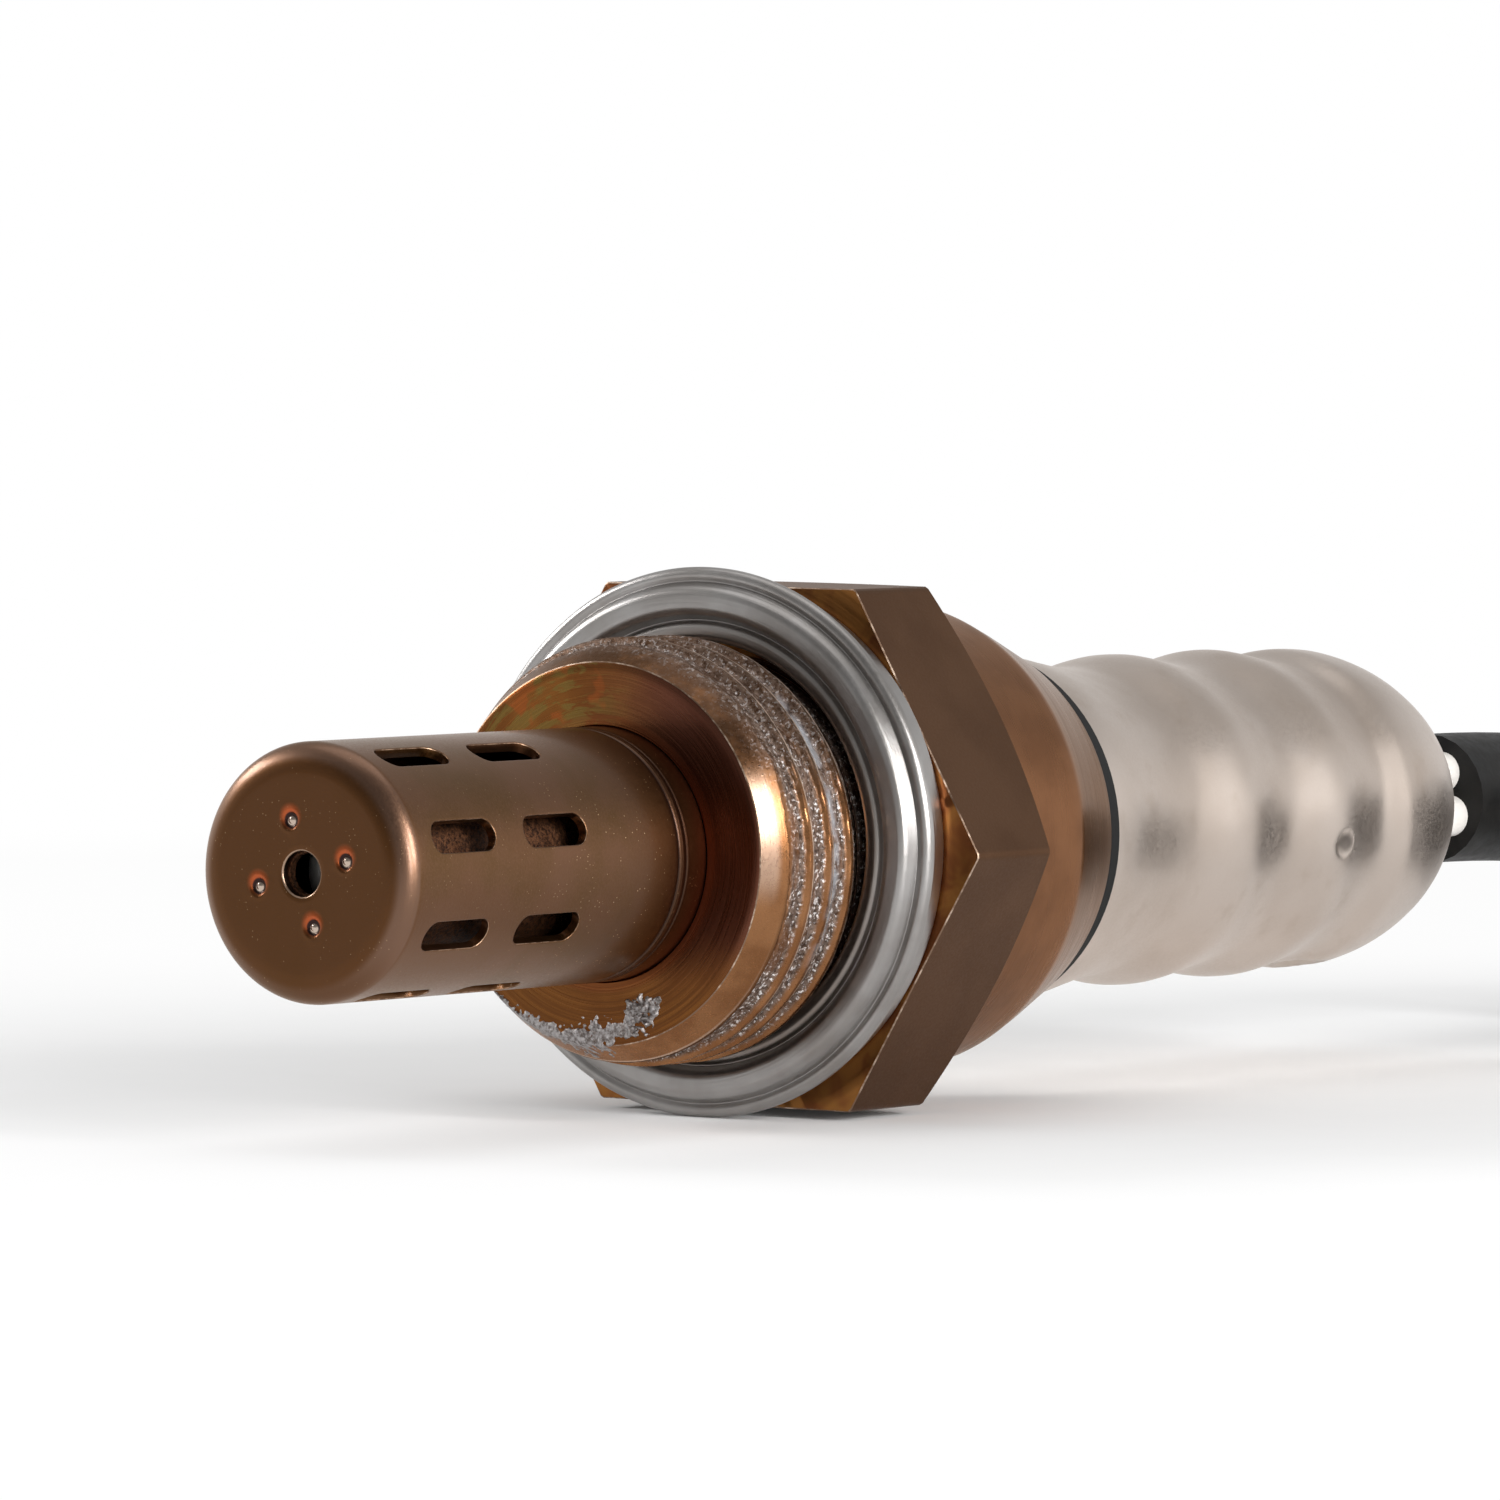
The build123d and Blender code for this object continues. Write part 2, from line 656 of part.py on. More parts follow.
os.makedirs("parts", exist_ok=True)
nodes = {
    "outer_protection_tube": outer_protection_tube(),
    "inner_protection_tube": inner_protection_tube(),
    "sensor_housing": sensor_housing(),
    "crush_gasket": crush_gasket(),
    "lip_seal_ring": lip_seal_ring(),
    "rear_sleeve": rear_sleeve(),
    "zirconia_element": zirconia_element(),
    "heater_rod": heater_rod(),
    "inner_contact_clip": inner_contact_clip(),
    "seat_washer": seat_washer(),
    "talc_ring": packing_ring(shoulder_end_x, packing_sleeve_x),
    "ceramic_packing_sleeve": packing_ring(packing_sleeve_x, sleeve_flange_x),
    "crimp_ring": crimp_ring(),
    "terminal_insulator": terminal_insulator(),
    "retaining_spring": retaining_spring(),
    "rear_grommet": rear_grommet(),
    "lead_sleeving": lead_sleeving(),
    "lead_hank": lead_hank(),
    "hank_tie": hank_tie(),
    "connector_boot": connector_boot(),
    "connector_housing": connector_housing(),
    "connector_lock": lock_window(0),
    "connector_pins": connector_pins(),
}
for number, name in enumerate(("heater_1", "ground", "signal", "heater_2")):
    nodes[name + "_terminal"] = terminal(number)
    nodes[name + "_wire"] = round_tube(wire_path(number), wire_radius)
for name, shape in nodes.items():
    export_step(shape, f"parts/{name}.step")
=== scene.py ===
from math import cos, degrees, hypot, pi, radians, sin, sqrt, tan

import bmesh
import bpy
from mathutils import Matrix, Vector, noise


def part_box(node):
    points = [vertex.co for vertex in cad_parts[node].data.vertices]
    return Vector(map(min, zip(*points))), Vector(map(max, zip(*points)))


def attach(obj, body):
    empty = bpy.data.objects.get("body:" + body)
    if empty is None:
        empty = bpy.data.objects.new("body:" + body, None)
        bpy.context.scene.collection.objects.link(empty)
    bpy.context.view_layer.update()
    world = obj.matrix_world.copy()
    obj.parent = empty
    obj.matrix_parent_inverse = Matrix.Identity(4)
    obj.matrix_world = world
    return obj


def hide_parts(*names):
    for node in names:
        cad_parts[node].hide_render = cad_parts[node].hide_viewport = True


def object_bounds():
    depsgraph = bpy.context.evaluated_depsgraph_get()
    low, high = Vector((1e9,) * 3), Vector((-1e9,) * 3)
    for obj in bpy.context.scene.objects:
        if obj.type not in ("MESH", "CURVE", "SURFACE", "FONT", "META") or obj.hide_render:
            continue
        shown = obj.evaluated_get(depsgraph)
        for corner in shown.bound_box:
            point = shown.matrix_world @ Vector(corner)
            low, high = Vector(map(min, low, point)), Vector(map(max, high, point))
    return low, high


# Sizes are in millimetres, and MM turns them into Blender's metres.
# Angles about the sensor's axis (X) start at -Y and grow towards +Z.
MM = 0.001
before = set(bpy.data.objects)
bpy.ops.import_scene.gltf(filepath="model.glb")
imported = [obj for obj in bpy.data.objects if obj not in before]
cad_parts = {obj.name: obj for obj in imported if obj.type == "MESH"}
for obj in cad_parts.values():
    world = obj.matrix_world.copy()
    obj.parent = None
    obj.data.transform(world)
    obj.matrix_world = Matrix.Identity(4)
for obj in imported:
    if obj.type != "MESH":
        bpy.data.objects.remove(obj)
cad_low, cad_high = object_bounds()


def low(node):
    """The node's lowest corner, in millimetres."""
    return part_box(node)[0] / MM


def high(node):
    """The node's highest corner, in millimetres."""
    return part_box(node)[1] / MM


def add_object(name, data):
    thing = bpy.data.objects.new(name, data)
    bpy.context.scene.collection.objects.link(thing)
    return thing


# ---- camera ----
IMAGE_WIDTH = 1500
FOCAL_LENGTH = 12062.75  # in pixels of the image
ORIGIN_PIXEL = (727.06, 845.41)  # where the gasket seat's centre shows
ORIGIN_DEPTH = 510.145
CAMERA_YAW, CAMERA_PITCH, CAMERA_ROLL = 56.11, 2.53, 0.584  # degrees
SENSOR_WIDTH = 36.0
CLIP_START, CLIP_END = 0.01, 20  # in metres


def make_camera():
    yaw, pitch, roll = radians(CAMERA_YAW), radians(CAMERA_PITCH), radians(CAMERA_ROLL)
    look = Vector((sin(yaw) * cos(pitch), cos(yaw) * cos(pitch), -sin(pitch)))
    level = Vector((cos(yaw), -sin(yaw), 0))
    above = level.cross(look)
    right = level * cos(roll) + above * sin(roll)
    up = above * cos(roll) - level * sin(roll)
    across = (ORIGIN_PIXEL[0] - IMAGE_WIDTH / 2) / FOCAL_LENGTH
    down = (ORIGIN_PIXEL[1] - IMAGE_WIDTH / 2) / FOCAL_LENGTH
    place = (right * across - up * down + look) * -ORIGIN_DEPTH * MM
    data = bpy.data.cameras.new("camera")
    data.sensor_width = SENSOR_WIDTH
    data.lens = SENSOR_WIDTH * FOCAL_LENGTH / IMAGE_WIDTH
    data.clip_start, data.clip_end = CLIP_START, CLIP_END
    camera = add_object("camera", data)
    turn = Matrix((right, up, -look)).transposed().to_4x4()
    camera.matrix_world = Matrix.Translation(place) @ turn
    bpy.context.scene.camera = camera


make_camera()


# ---- the lead: down onto the table, out along it, and back through its tied hank ----
CORD_RADIUS = 3.0
LEAD_ROUTE = [(57.9, 0, 0), (76.4, 0, 0), (99.4, 7, -8.39), (117.4, 7, -8.39)]
HANK_ROUTE = [
    (130.2, 5.5, -8.3), (142.2, -1.3, -7.6), (152.2, -1.3, -7.6), (164.2, 5.5, -8.35),
    (179.2, 13.2, -8.39), (195.2, 14.0, -8.39), (206.2, 4.5, -8.39), (206.2, -13.5, -8.39),
    (195.2, -23.0, -8.39), (179.2, -22.2, -8.39), (164.2, -14.5, -8.35), (152.2, -7.7, -7.6),
    (142.2, -7.7, -7.6), (130.2, -14.5, -8.3), (117.4, -16, -8.39),
]


def smooth_curve(name, points, radius):
    curve = bpy.data.curves.new(name, "CURVE")
    curve.dimensions = "3D"
    curve.bevel_depth = 1.0  # the points' radii give the thickness, so the curve's box stays true
    curve.bevel_resolution = 10
    curve.resolution_u = 16
    curve.use_fill_caps = True
    spline = curve.splines.new("NURBS")
    spline.points.add(len(points) - 1)
    for place, point in zip(spline.points, points):
        place.co = (*(Vector(point) * MM), 1)
        place.radius = radius * MM
    spline.order_u = 3
    spline.use_endpoint_u = True
    return add_object(name, curve)


lead = smooth_curve("lead", LEAD_ROUTE + HANK_ROUTE, CORD_RADIUS)
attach(lead, "root")
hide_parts("lead_sleeving", "lead_hank")


# ---- sizes of the dressed pieces ----
FACE_X = low("sensor_housing").x
THREAD_RADIUS = 9.0
THREAD_PITCH = 1.5
THREAD_DEPTH = 0.78
THREAD_CREST = 0.09  # half the crest's width, as a share of the pitch
THREAD_ROOT = 0.13  # half the root's width, likewise
THREAD_CREST_X = -4.0  # a crest's place at angle 0
THREAD_START_X = -8.1  # where the first groove opens, behind the rim
RIM_RADIUS = 8.0
CHAMFER_SLOPE = tan(radians(27.2))
RELIEF_RADIUS, RELIEF_LENGTH = 8.1, 3.4
HEX_APOTHEM = 11.0
HEX_LENGTH = 6.5
HEX_CORNER = HEX_APOTHEM / cos(radians(30))
HEX_CORNER_WEAR = 0.05
HEX_EDGE = 0.05
HEX_CHAMFER_SLOPE = tan(radians(30))
COLLAR_RADIUS, COLLAR_ROOT = 10.1, 0.7
COLLAR_END_X = 12.3
LIP_END_X = 17.1
LIP_RADIUS, LIP_BORE = 8.48, 8.08
SEAT_DEPTH = 1.0
SHOULDER_BORE, THROAT_BORE = 5.45, 3.4
JOINT_GAP = 0.025
FRONT_RIM = 2.0  # metal in front of the protection tubes' flanges
INNER_FLANGE = 0.35

GASKET_LIFT = 0.21
GASKET_SHEET = 0.25
GASKET_FOLDS = [
    (-1.445, 10.93), (-0.125, 10.93), (-0.125, 8.625), (-2.375, 8.625), (-2.375, 9.115), (-1.965, 9.437),
    (-2.715, 9.779), (-2.715, 10.62), (-1.995, 10.93), (-2.215, 11.475), (-1.795, 11.475),
]
GASKET_RADII = [0.2, 0.2, 0.2, 0.2, 0.171, 0.342, 0.342, 0.171, 0.2]
GASKET_FOLD_STEPS, GASKET_STEPS = 8, 320

TIP_X = low("outer_protection_tube").x
TUBE_RADIUS, TUBE_WALL = 5.32, 0.4
TUBE_EDGE, TUBE_EDGE_WIDTH = 0.97, 1.3  # the end's rounded edge, along the tube and across it
SLOT_HALF_LENGTH, SLOT_HALF_WIDTH = 2.2, 0.675
SLOT_COUNT, SLOT_PHASE = 8, 17.3
SLOT_CENTRES = (TIP_X + 4.12, TIP_X + 10.55)
SLOT_EDGE = 0.05  # rounding of a punched slot's outer edge
GAS_HOLE = 0.92
DIMPLE_CIRCLE, DIMPLE_ANGLES = 2.22, (15.0, 105.0, 195.0, 285.0)
DIMPLE_RADIUS, DIMPLE_DEPTH, DIMPLE_BRIM = 0.38, 0.18, 0.012
NUGGET_HEIGHT = 0.13  # the bead in the middle of a dimple
RING_MARKS = ((1.92, 0.10, 0.06), (1.66, 0.08, -0.015), (1.4, 0.08, 0.04))  # from the face, half width, depth

SLEEVE_WALL = 0.45
SLEEVE_NECK = 7.75
SLEEVE_STATIONS = [
    (18.4, SLEEVE_NECK), (26.65, 6.85), (30.625, 7.34), (34.6, 6.85), (38.575, 7.34), (42.55, 6.85),
    (44.55, 7.25),
]
SLEEVE_FINE_X = 17.0  # the mesh is fine from here on
SLEEVE_ROWS, SLEEVE_STEPS = 150, 300
MOUTH_X, MOUTH_RADIUS = high("rear_sleeve").x, 3.5
STAKES = ((38.575, -8.7, 0.62, 0.32), (44.55, -80.0, 1.2, 0.5))  # place, angle, half width, depth


# ---- building meshes ----
def on_axis(x, radius, angle, lift=0.0):
    """A point at this station, radius and angle in degrees round the sensor's axis."""
    return Vector((x, -radius * cos(radians(angle)), radius * sin(radians(angle)) + lift))


def band_faces(rings, count, closed_round=True):
    """Quads between each ring of points and the next."""
    faces = []
    for ring in range(rings - 1):
        for number in range(count if closed_round else count - 1):
            here, beside = ring * count + number, ring * count + (number + 1) % count
            faces.append((here, beside, beside + count, here + count))
    return faces


def add_piece(name, points, faces, materials, crease, zones=None, seam=0.001):
    """A mesh piece from points in millimetres. Zones give each face its material's number.

    Edges sharper than the crease show as edges. Points closer than the seam are joined, and all faces
    are turned outwards.
    """
    mesh = bpy.data.meshes.new(name)
    mesh.from_pydata([point * MM for point in points], [], faces)
    for material in materials:
        mesh.materials.append(material)
    if zones:
        mesh.polygons.foreach_set("material_index", zones)
    mesh.polygons.foreach_set("use_smooth", [True] * len(faces))
    mesh.validate()
    work = bmesh.new()
    work.from_mesh(mesh)
    bmesh.ops.remove_doubles(work, verts=work.verts, dist=seam * MM)
    bmesh.ops.recalc_face_normals(work, faces=work.faces)
    work.to_mesh(mesh)
    work.free()
    mesh.set_sharp_from_angle(angle=radians(crease))
    piece = add_object(name, mesh)
    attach(piece, "root")
    return piece


def lathe(name, profile, count, material, shape, crease, lift=0.0):
    """A turned piece from a closed profile of (x, radius). Shape moves each of its points for its angle."""
    points = []
    for x, radius in profile + profile[:1]:
        for angle in even_angles(count):
            points.append(on_axis(*shape(x, radius, angle), angle, lift))
    faces = band_faces(len(profile) + 1, count)
    return add_piece(name, points, faces, [material], crease)


def even_angles(count):
    return [number * 360 / count for number in range(count)]


def rounded(corners, radii, steps):
    """Points of a path whose inner corners are rounded by arcs."""
    points = [Vector(corners[0])]
    for before, corner, after, radius in zip(corners, corners[1:], corners[2:], radii):
        corner = Vector(corner)
        back, ahead = (Vector(before) - corner).normalized(), (Vector(after) - corner).normalized()
        half_turn = (pi - back.angle(ahead)) / 2
        start = corner + back * radius * tan(half_turn)
        middle = corner + (back + ahead).normalized() * radius / cos(half_turn)
        sweep = 2 * half_turn * (1 if back.cross(ahead) < 0 else -1)
        for step in range(steps + 1):
            spin = Matrix.Rotation(sweep * step / steps, 2)
            points.append(middle + spin @ (start - middle))
    return points + [Vector(corners[-1])]


def strip_outline(path, thickness):
    """The closed outline of a strip of this thickness along a path."""
    sides = ([], [])
    for number, point in enumerate(path):
        ahead = path[min(number + 1, len(path) - 1)] - path[max(number - 1, 0)]
        across = Vector((-ahead.y, ahead.x)).normalized() * thickness / 2
        sides[0].append(point + across)
        sides[1].append(point - across)
    return sides[0] + sides[1][::-1]


def sleeve_radius(x):
    """The sleeve's crimped waves, and its dome down to the mouth."""
    if x <= SLEEVE_STATIONS[0][0]:
        return SLEEVE_NECK
    last_x, last_radius = SLEEVE_STATIONS[-1]
    if x >= last_x:
        drop, length = last_radius - MOUTH_RADIUS, MOUTH_X - last_x
        dome = (length**2 + drop**2) / (2 * drop)
        return last_radius - dome + sqrt(dome**2 - (x - last_x) ** 2)
    for (start_x, start), (end_x, end) in zip(SLEEVE_STATIONS, SLEEVE_STATIONS[1:]):
        if x <= end_x:
            share = (x - start_x) / (end_x - start_x)
            return start + (end - start) * share * share * (3 - 2 * share)


# ---- materials ----
class Nodes:
    """A node tree under construction. An input may be a number, a colour, a vector or a node's output."""

    def __init__(self, tree):
        self.tree = tree
        tree.nodes.clear()

    def node(self, kind, settings=None, inputs=()):
        node = self.tree.nodes.new(kind)
        for key, value in (settings or {}).items():
            setattr(node, key, value)
        pairs = inputs.items() if isinstance(inputs, dict) else enumerate(inputs)
        for key, value in pairs:
            if isinstance(value, bpy.types.NodeSocket):
                self.tree.links.new(value, node.inputs[key])
            elif isinstance(value, tuple) and node.inputs[key].type == "RGBA":
                node.inputs[key].default_value = (*value, 1)
            else:
                node.inputs[key].default_value = value
        return node

    def math(self, operation, *values):
        return self.node("ShaderNodeMath", {"operation": operation}, values).outputs[0]

    def plus(self, first, second):
        return self.math("ADD", first, second)

    def minus(self, first, second):
        return self.math("SUBTRACT", first, second)

    def times(self, first, second):
        return self.math("MULTIPLY", first, second)

    def vector(self, operation, *values):
        return self.node("ShaderNodeVectorMath", {"operation": operation}, values).outputs["Vector"]

    def measure(self, operation, *values):
        """A number made from vectors, such as their distance."""
        return self.node("ShaderNodeVectorMath", {"operation": operation}, values).outputs["Value"]

    def join(self, x, y, z):
        return self.node("ShaderNodeCombineXYZ", None, [x, y, z]).outputs[0]

    def ramp(self, value, start, end, low=0.0, high=1.0):
        """The value taken smoothly from start..end to low..high."""
        inputs = [value, start, end, low, high]
        return self.node("ShaderNodeMapRange", {"interpolation_type": "SMOOTHSTEP"}, inputs).outputs[0]

    def band(self, value, start, end, soft):
        """1 between start and end, with soft borders outside them."""
        return self.times(self.ramp(value, start - soft, start), self.ramp(value, end, end + soft, 1.0, 0.0))

    def mix(self, share, first, second):
        """A colour between the two."""
        node = self.node("ShaderNodeMix", {"data_type": "RGBA"}, {0: share, 6: first, 7: second})
        return node.outputs[2]


class Shader(Nodes):
    """A material, whose colour is set first and then painted over.

    Its x, y, z and radius about the sensor's axis are in millimetres.
    """

    def __init__(self, name):
        self.colour = None
        self.material = bpy.data.materials.new(name)
        self.material.use_nodes = True
        super().__init__(self.material.node_tree)
        self.output = self.node("ShaderNodeOutputMaterial")
        place = self.node("ShaderNodeTexCoord").outputs["Object"]
        self.place = self.vector("MULTIPLY", place, (1 / MM, 1 / MM, 1 / MM))
        self.x, self.y, self.z = self.node("ShaderNodeSeparateXYZ", None, [self.place]).outputs
        self.radius = self.measure("LENGTH", self.vector("MULTIPLY", self.place, (0, 1, 1)))

    def moved(self, *offset):
        """The place moved by this much, for a noise of its own."""
        return self.vector("ADD", self.place, offset)

    def turned(self, along, across, outward):
        """A place whose noise runs as turning lines round the sensor's axis."""
        x = self.plus(self.times(self.x, along), self.times(self.radius, outward))
        return self.join(x, self.times(self.y, across), self.times(self.z, across))

    def noise(self, scale, detail, rough=0.55, place=None, distortion=0.0):
        """Noise from 0 to 1 with about this many waves to the millimetre."""
        inputs = {
            "Vector": self.place if place is None else place,
            "Scale": scale, "Detail": detail, "Roughness": rough, "Distortion": distortion,
        }
        return self.node("ShaderNodeTexNoise", None, inputs).outputs["Fac"]

    def cells(self, scale):
        inputs = {"Vector": self.place, "Scale": scale}
        return self.node("ShaderNodeTexVoronoi", None, inputs).outputs["Distance"]

    def patches(self, noise, first, second, start=0.35, end=0.65):
        """The two colours in patches, by this noise."""
        return self.mix(self.ramp(noise, start, end), first, second)

    def paint(self, coat, share, strength=1.0):
        """Paints a coat over the colour, by share and strength."""
        if strength != 1.0:
            share = self.times(share, strength)
        self.colour = self.mix(share, self.colour, coat)

    def uneven(self, noise, low, high):
        """A number that wanders between low and high with this noise."""
        return self.ramp(noise, 0.3, 0.7, low, high)

    def bump(self, height, distance, strength, under=None):
        """A bump of this height in millimetres, over another bump if that is given."""
        inputs = {"Strength": strength, "Distance": distance * MM, "Height": height}
        if under is not None:
            inputs["Normal"] = under
        return self.node("ShaderNodeBump", None, inputs).outputs["Normal"]

    def finish(self, roughness, metallic, normal, **fixed):
        """The material with its surface. The fixed inputs are the same all over."""
        inputs = {"Base Color": self.colour, "Roughness": roughness, "Metallic": metallic, "Normal": normal}
        inputs.update({key.replace("_", " "): value for key, value in fixed.items()})
        shader = self.node("ShaderNodeBsdfPrincipled", None, inputs)
        self.tree.links.new(shader.outputs["BSDF"], self.output.inputs["Surface"])
        return self.material


def turns_from_crest(s):
    """How far a point is from the nearest thread crest, as a share of the pitch."""
    angle = s.math("ARCTAN2", s.z, s.times(s.y, -1.0))
    along = s.math("DIVIDE", s.minus(s.x, THREAD_CREST_X), THREAD_PITCH)
    turns = s.plus(along, s.math("DIVIDE", angle, 2 * pi))
    return s.minus(s.math("FRACT", s.plus(turns, 0.5)), 0.5)


def near_dimples(s, up, start, end):
    """1 close to the end disc's weld dimples, falling to 0 further away."""
    nearest = 0.0
    flat = s.join(0.0, s.y, s.z)
    for angle in DIMPLE_ANGLES:
        away = s.measure("DISTANCE", flat, on_axis(0, DIMPLE_CIRCLE, angle, up))
        nearest = s.math("MAXIMUM", nearest, s.ramp(away, start, end, 1.0, 0.0))
    return s.times(nearest, s.ramp(s.x, TIP_X + 0.3, TIP_X + 0.5, 1.0, 0.0))


# Painted shade lines in the ring marks' grooves and a painted highlight line on the ridge between them, over
# a darker band.
TUBE_RINGS = [  # start and end ahead of the housing's face, soft border, share, colour
    (2.10, 1.30, 0.2, 0.6, (0.06, 0.027, 0.015)),
    (1.98, 1.86, 0.05, 0.85, (0.045, 0.022, 0.015)),
    (1.70, 1.66, 0.04, 0.35, (0.3, 0.17, 0.1)),
    (1.45, 1.35, 0.06, 0.7, (0.06, 0.03, 0.02)),
]


def tube_steel():
    """Stainless steel browned by heat: satin, with mauve patches, gold specks, dark weld dimples with pale
    middles, and painted highlights and shade at the end's edge, gas hole and ring marks.
    """
    s = Shader("tube_steel")
    brown, mauve, olive = (0.13, 0.055, 0.019), (0.15, 0.068, 0.033), (0.112, 0.05, 0.012)
    s.colour = s.patches(s.noise(0.12, 2.0), brown, mauve)
    s.paint(olive, s.ramp(s.noise(0.2, 3.0, place=s.moved(7, 3, 9)), 0.45, 0.7))
    disc = s.ramp(s.x, TIP_X + 0.2, TIP_X + 0.9, 1.0, 0.0)
    s.paint((0.094, 0.035, 0.008), disc, 0.85)
    # A paler colour on the end's rounded edge, weaker lower down: a painted highlight.
    painted_edge_highlight = s.band(s.x, TIP_X + 0.2, TIP_X + 0.75, 0.15)
    s.paint((0.3, 0.195, 0.15), painted_edge_highlight, s.ramp(s.z, -5.0, -2.5, 0.1, 0.35))
    s.paint((0.15, 0.068, 0.026), s.ramp(s.x, -16, -10.5), 0.6)
    grain = s.noise(9.0, 4.0, 0.7)
    grainy = s.ramp(grain, 0.38, 0.68, 0.0, 0.3)
    s.paint((0.2, 0.1, 0.05), grainy, s.minus(1.0, disc))
    speck = s.times(s.ramp(s.cells(5.0), 0.16, 0.1), s.ramp(s.noise(1.1, 2.0), 0.5, 0.62))
    s.paint((0.75, 0.5, 0.28), speck, s.ramp(s.x, -24, -12, 0.25, 1.0))

    # Round each weld dimple: an orange-red ring shifted upwards, a dark disc over the pit and a pale middle
    # on the nugget.
    s.paint((0.52, 0.105, 0.03), near_dimples(s, 0.16, 0.22, 0.62), 0.8)
    s.paint((0.03, 0.012, 0.01), near_dimples(s, 0.0, 0.3, 0.36))
    nugget = near_dimples(s, -0.04, 0.16, 0.23)
    s.paint((0.55, 0.44, 0.36), nugget)
    # A pale ring round the gas hole's edge: a painted highlight.
    brim = s.times(s.band(s.radius, GAS_HOLE, GAS_HOLE + 0.05, 0.03), disc)
    s.paint((0.62, 0.44, 0.32), brim, 0.55)
    # Near black on the gas hole's wall: painted shade in the hole.
    bore = s.ramp(s.radius, GAS_HOLE + 0.03, GAS_HOLE + 0.02)
    bore = s.times(bore, s.ramp(s.x, TIP_X + 0.06, TIP_X + 0.12))
    s.paint((0.03, 0.012, 0.008), bore, 0.85)

    # The ring marks' painted shade and painted highlight.
    for start, end, soft, share, tint in TUBE_RINGS:
        s.paint(tint, s.band(s.x, FACE_X - start, FACE_X - end, soft), share)
    s.paint((0.15, 0.05, 0.022), s.ramp(s.x, FACE_X - 1.2, FACE_X), 0.75)
    rough = s.minus(s.uneven(grain, 0.3, 0.4), s.times(nugget, 0.2))
    scratch = s.noise(1.0, 2.0, place=s.turned(14, 0.25, 14))
    normal = s.bump(scratch, 0.003, 0.5, s.bump(grain, 0.007, 0.6))
    shine = {"Coat_Weight": 0.22, "Coat_Roughness": 0.15, "Specular_Tint": (0.97, 0.88, 0.8)}
    return s.finish(rough, 1.0, normal, **shine)


def slot_edge_steel():
    """A paler colour in patches on a slot's rounded edge: a painted highlight."""
    s = Shader("slot_edge_steel")
    wear = s.noise(2.0, 3.0, 0.7)
    s.colour = s.patches(wear, (0.14, 0.075, 0.042), (0.46, 0.3, 0.2), 0.4, 0.6)
    return s.finish(s.uneven(wear, 0.28, 0.36), 1.0, s.bump(wear, 0.01, 0.5))


def inner_steel():
    """The inner tube behind the slots: rough, soot-brown and gritty."""
    s = Shader("inner_steel")
    grain = s.noise(6.0, 4.0, 0.75)
    s.colour = s.patches(grain, (0.03, 0.012, 0.007), (0.18, 0.076, 0.034))
    return s.finish(s.uneven(grain, 0.42, 0.6), 0.8, s.bump(grain, 0.05, 0.9))


def face_steel():
    """The housing's turned front face, with temper colours."""
    s = Shader("face_steel")
    amber, gold, plum = (0.168, 0.06, 0.016), (0.226, 0.088, 0.022), (0.13, 0.048, 0.032)
    green, red, dark_gold = (0.19, 0.14, 0.038), (0.34, 0.085, 0.022), (0.128, 0.048, 0.016)
    turning = s.noise(1.0, 3.0, 0.7, place=s.turned(10, 0.12, 10))
    s.colour = s.patches(s.noise(0.25, 3.0, 0.6, distortion=0.4), amber, gold)
    right = s.times(s.ramp(s.y, 2.0, -4.5), s.ramp(s.z, -6.5, -2.5))
    s.paint(plum, right, 0.9)
    top = s.times(s.ramp(s.z, 3.6, 5.6), s.ramp(s.y, -2.0, 1.5))
    streak = s.noise(1.0, 3.0, 0.6, place=s.turned(1.0, 0.6, 2.2), distortion=0.6)
    s.paint(green, top, s.times(s.ramp(streak, 0.47, 0.56), 0.6))
    blotch = s.noise(0.75, 2.0, place=s.moved(2, 8, 4))
    s.paint(red, top, s.times(s.ramp(blotch, 0.54, 0.62), 0.6))
    s.paint(dark_gold, s.ramp(s.z, -3.0, -6.0), s.ramp(turning, 0.4, 0.6, 0.35, 0.9))
    joint = s.band(s.radius, TUBE_RADIUS, TUBE_RADIUS + 0.35, 0.2)
    s.paint((0.24, 0.07, 0.025), joint, 0.35)
    return s.finish(s.uneven(turning, 0.22, 0.36), 1.0, s.bump(turning, 0.01, 0.7))


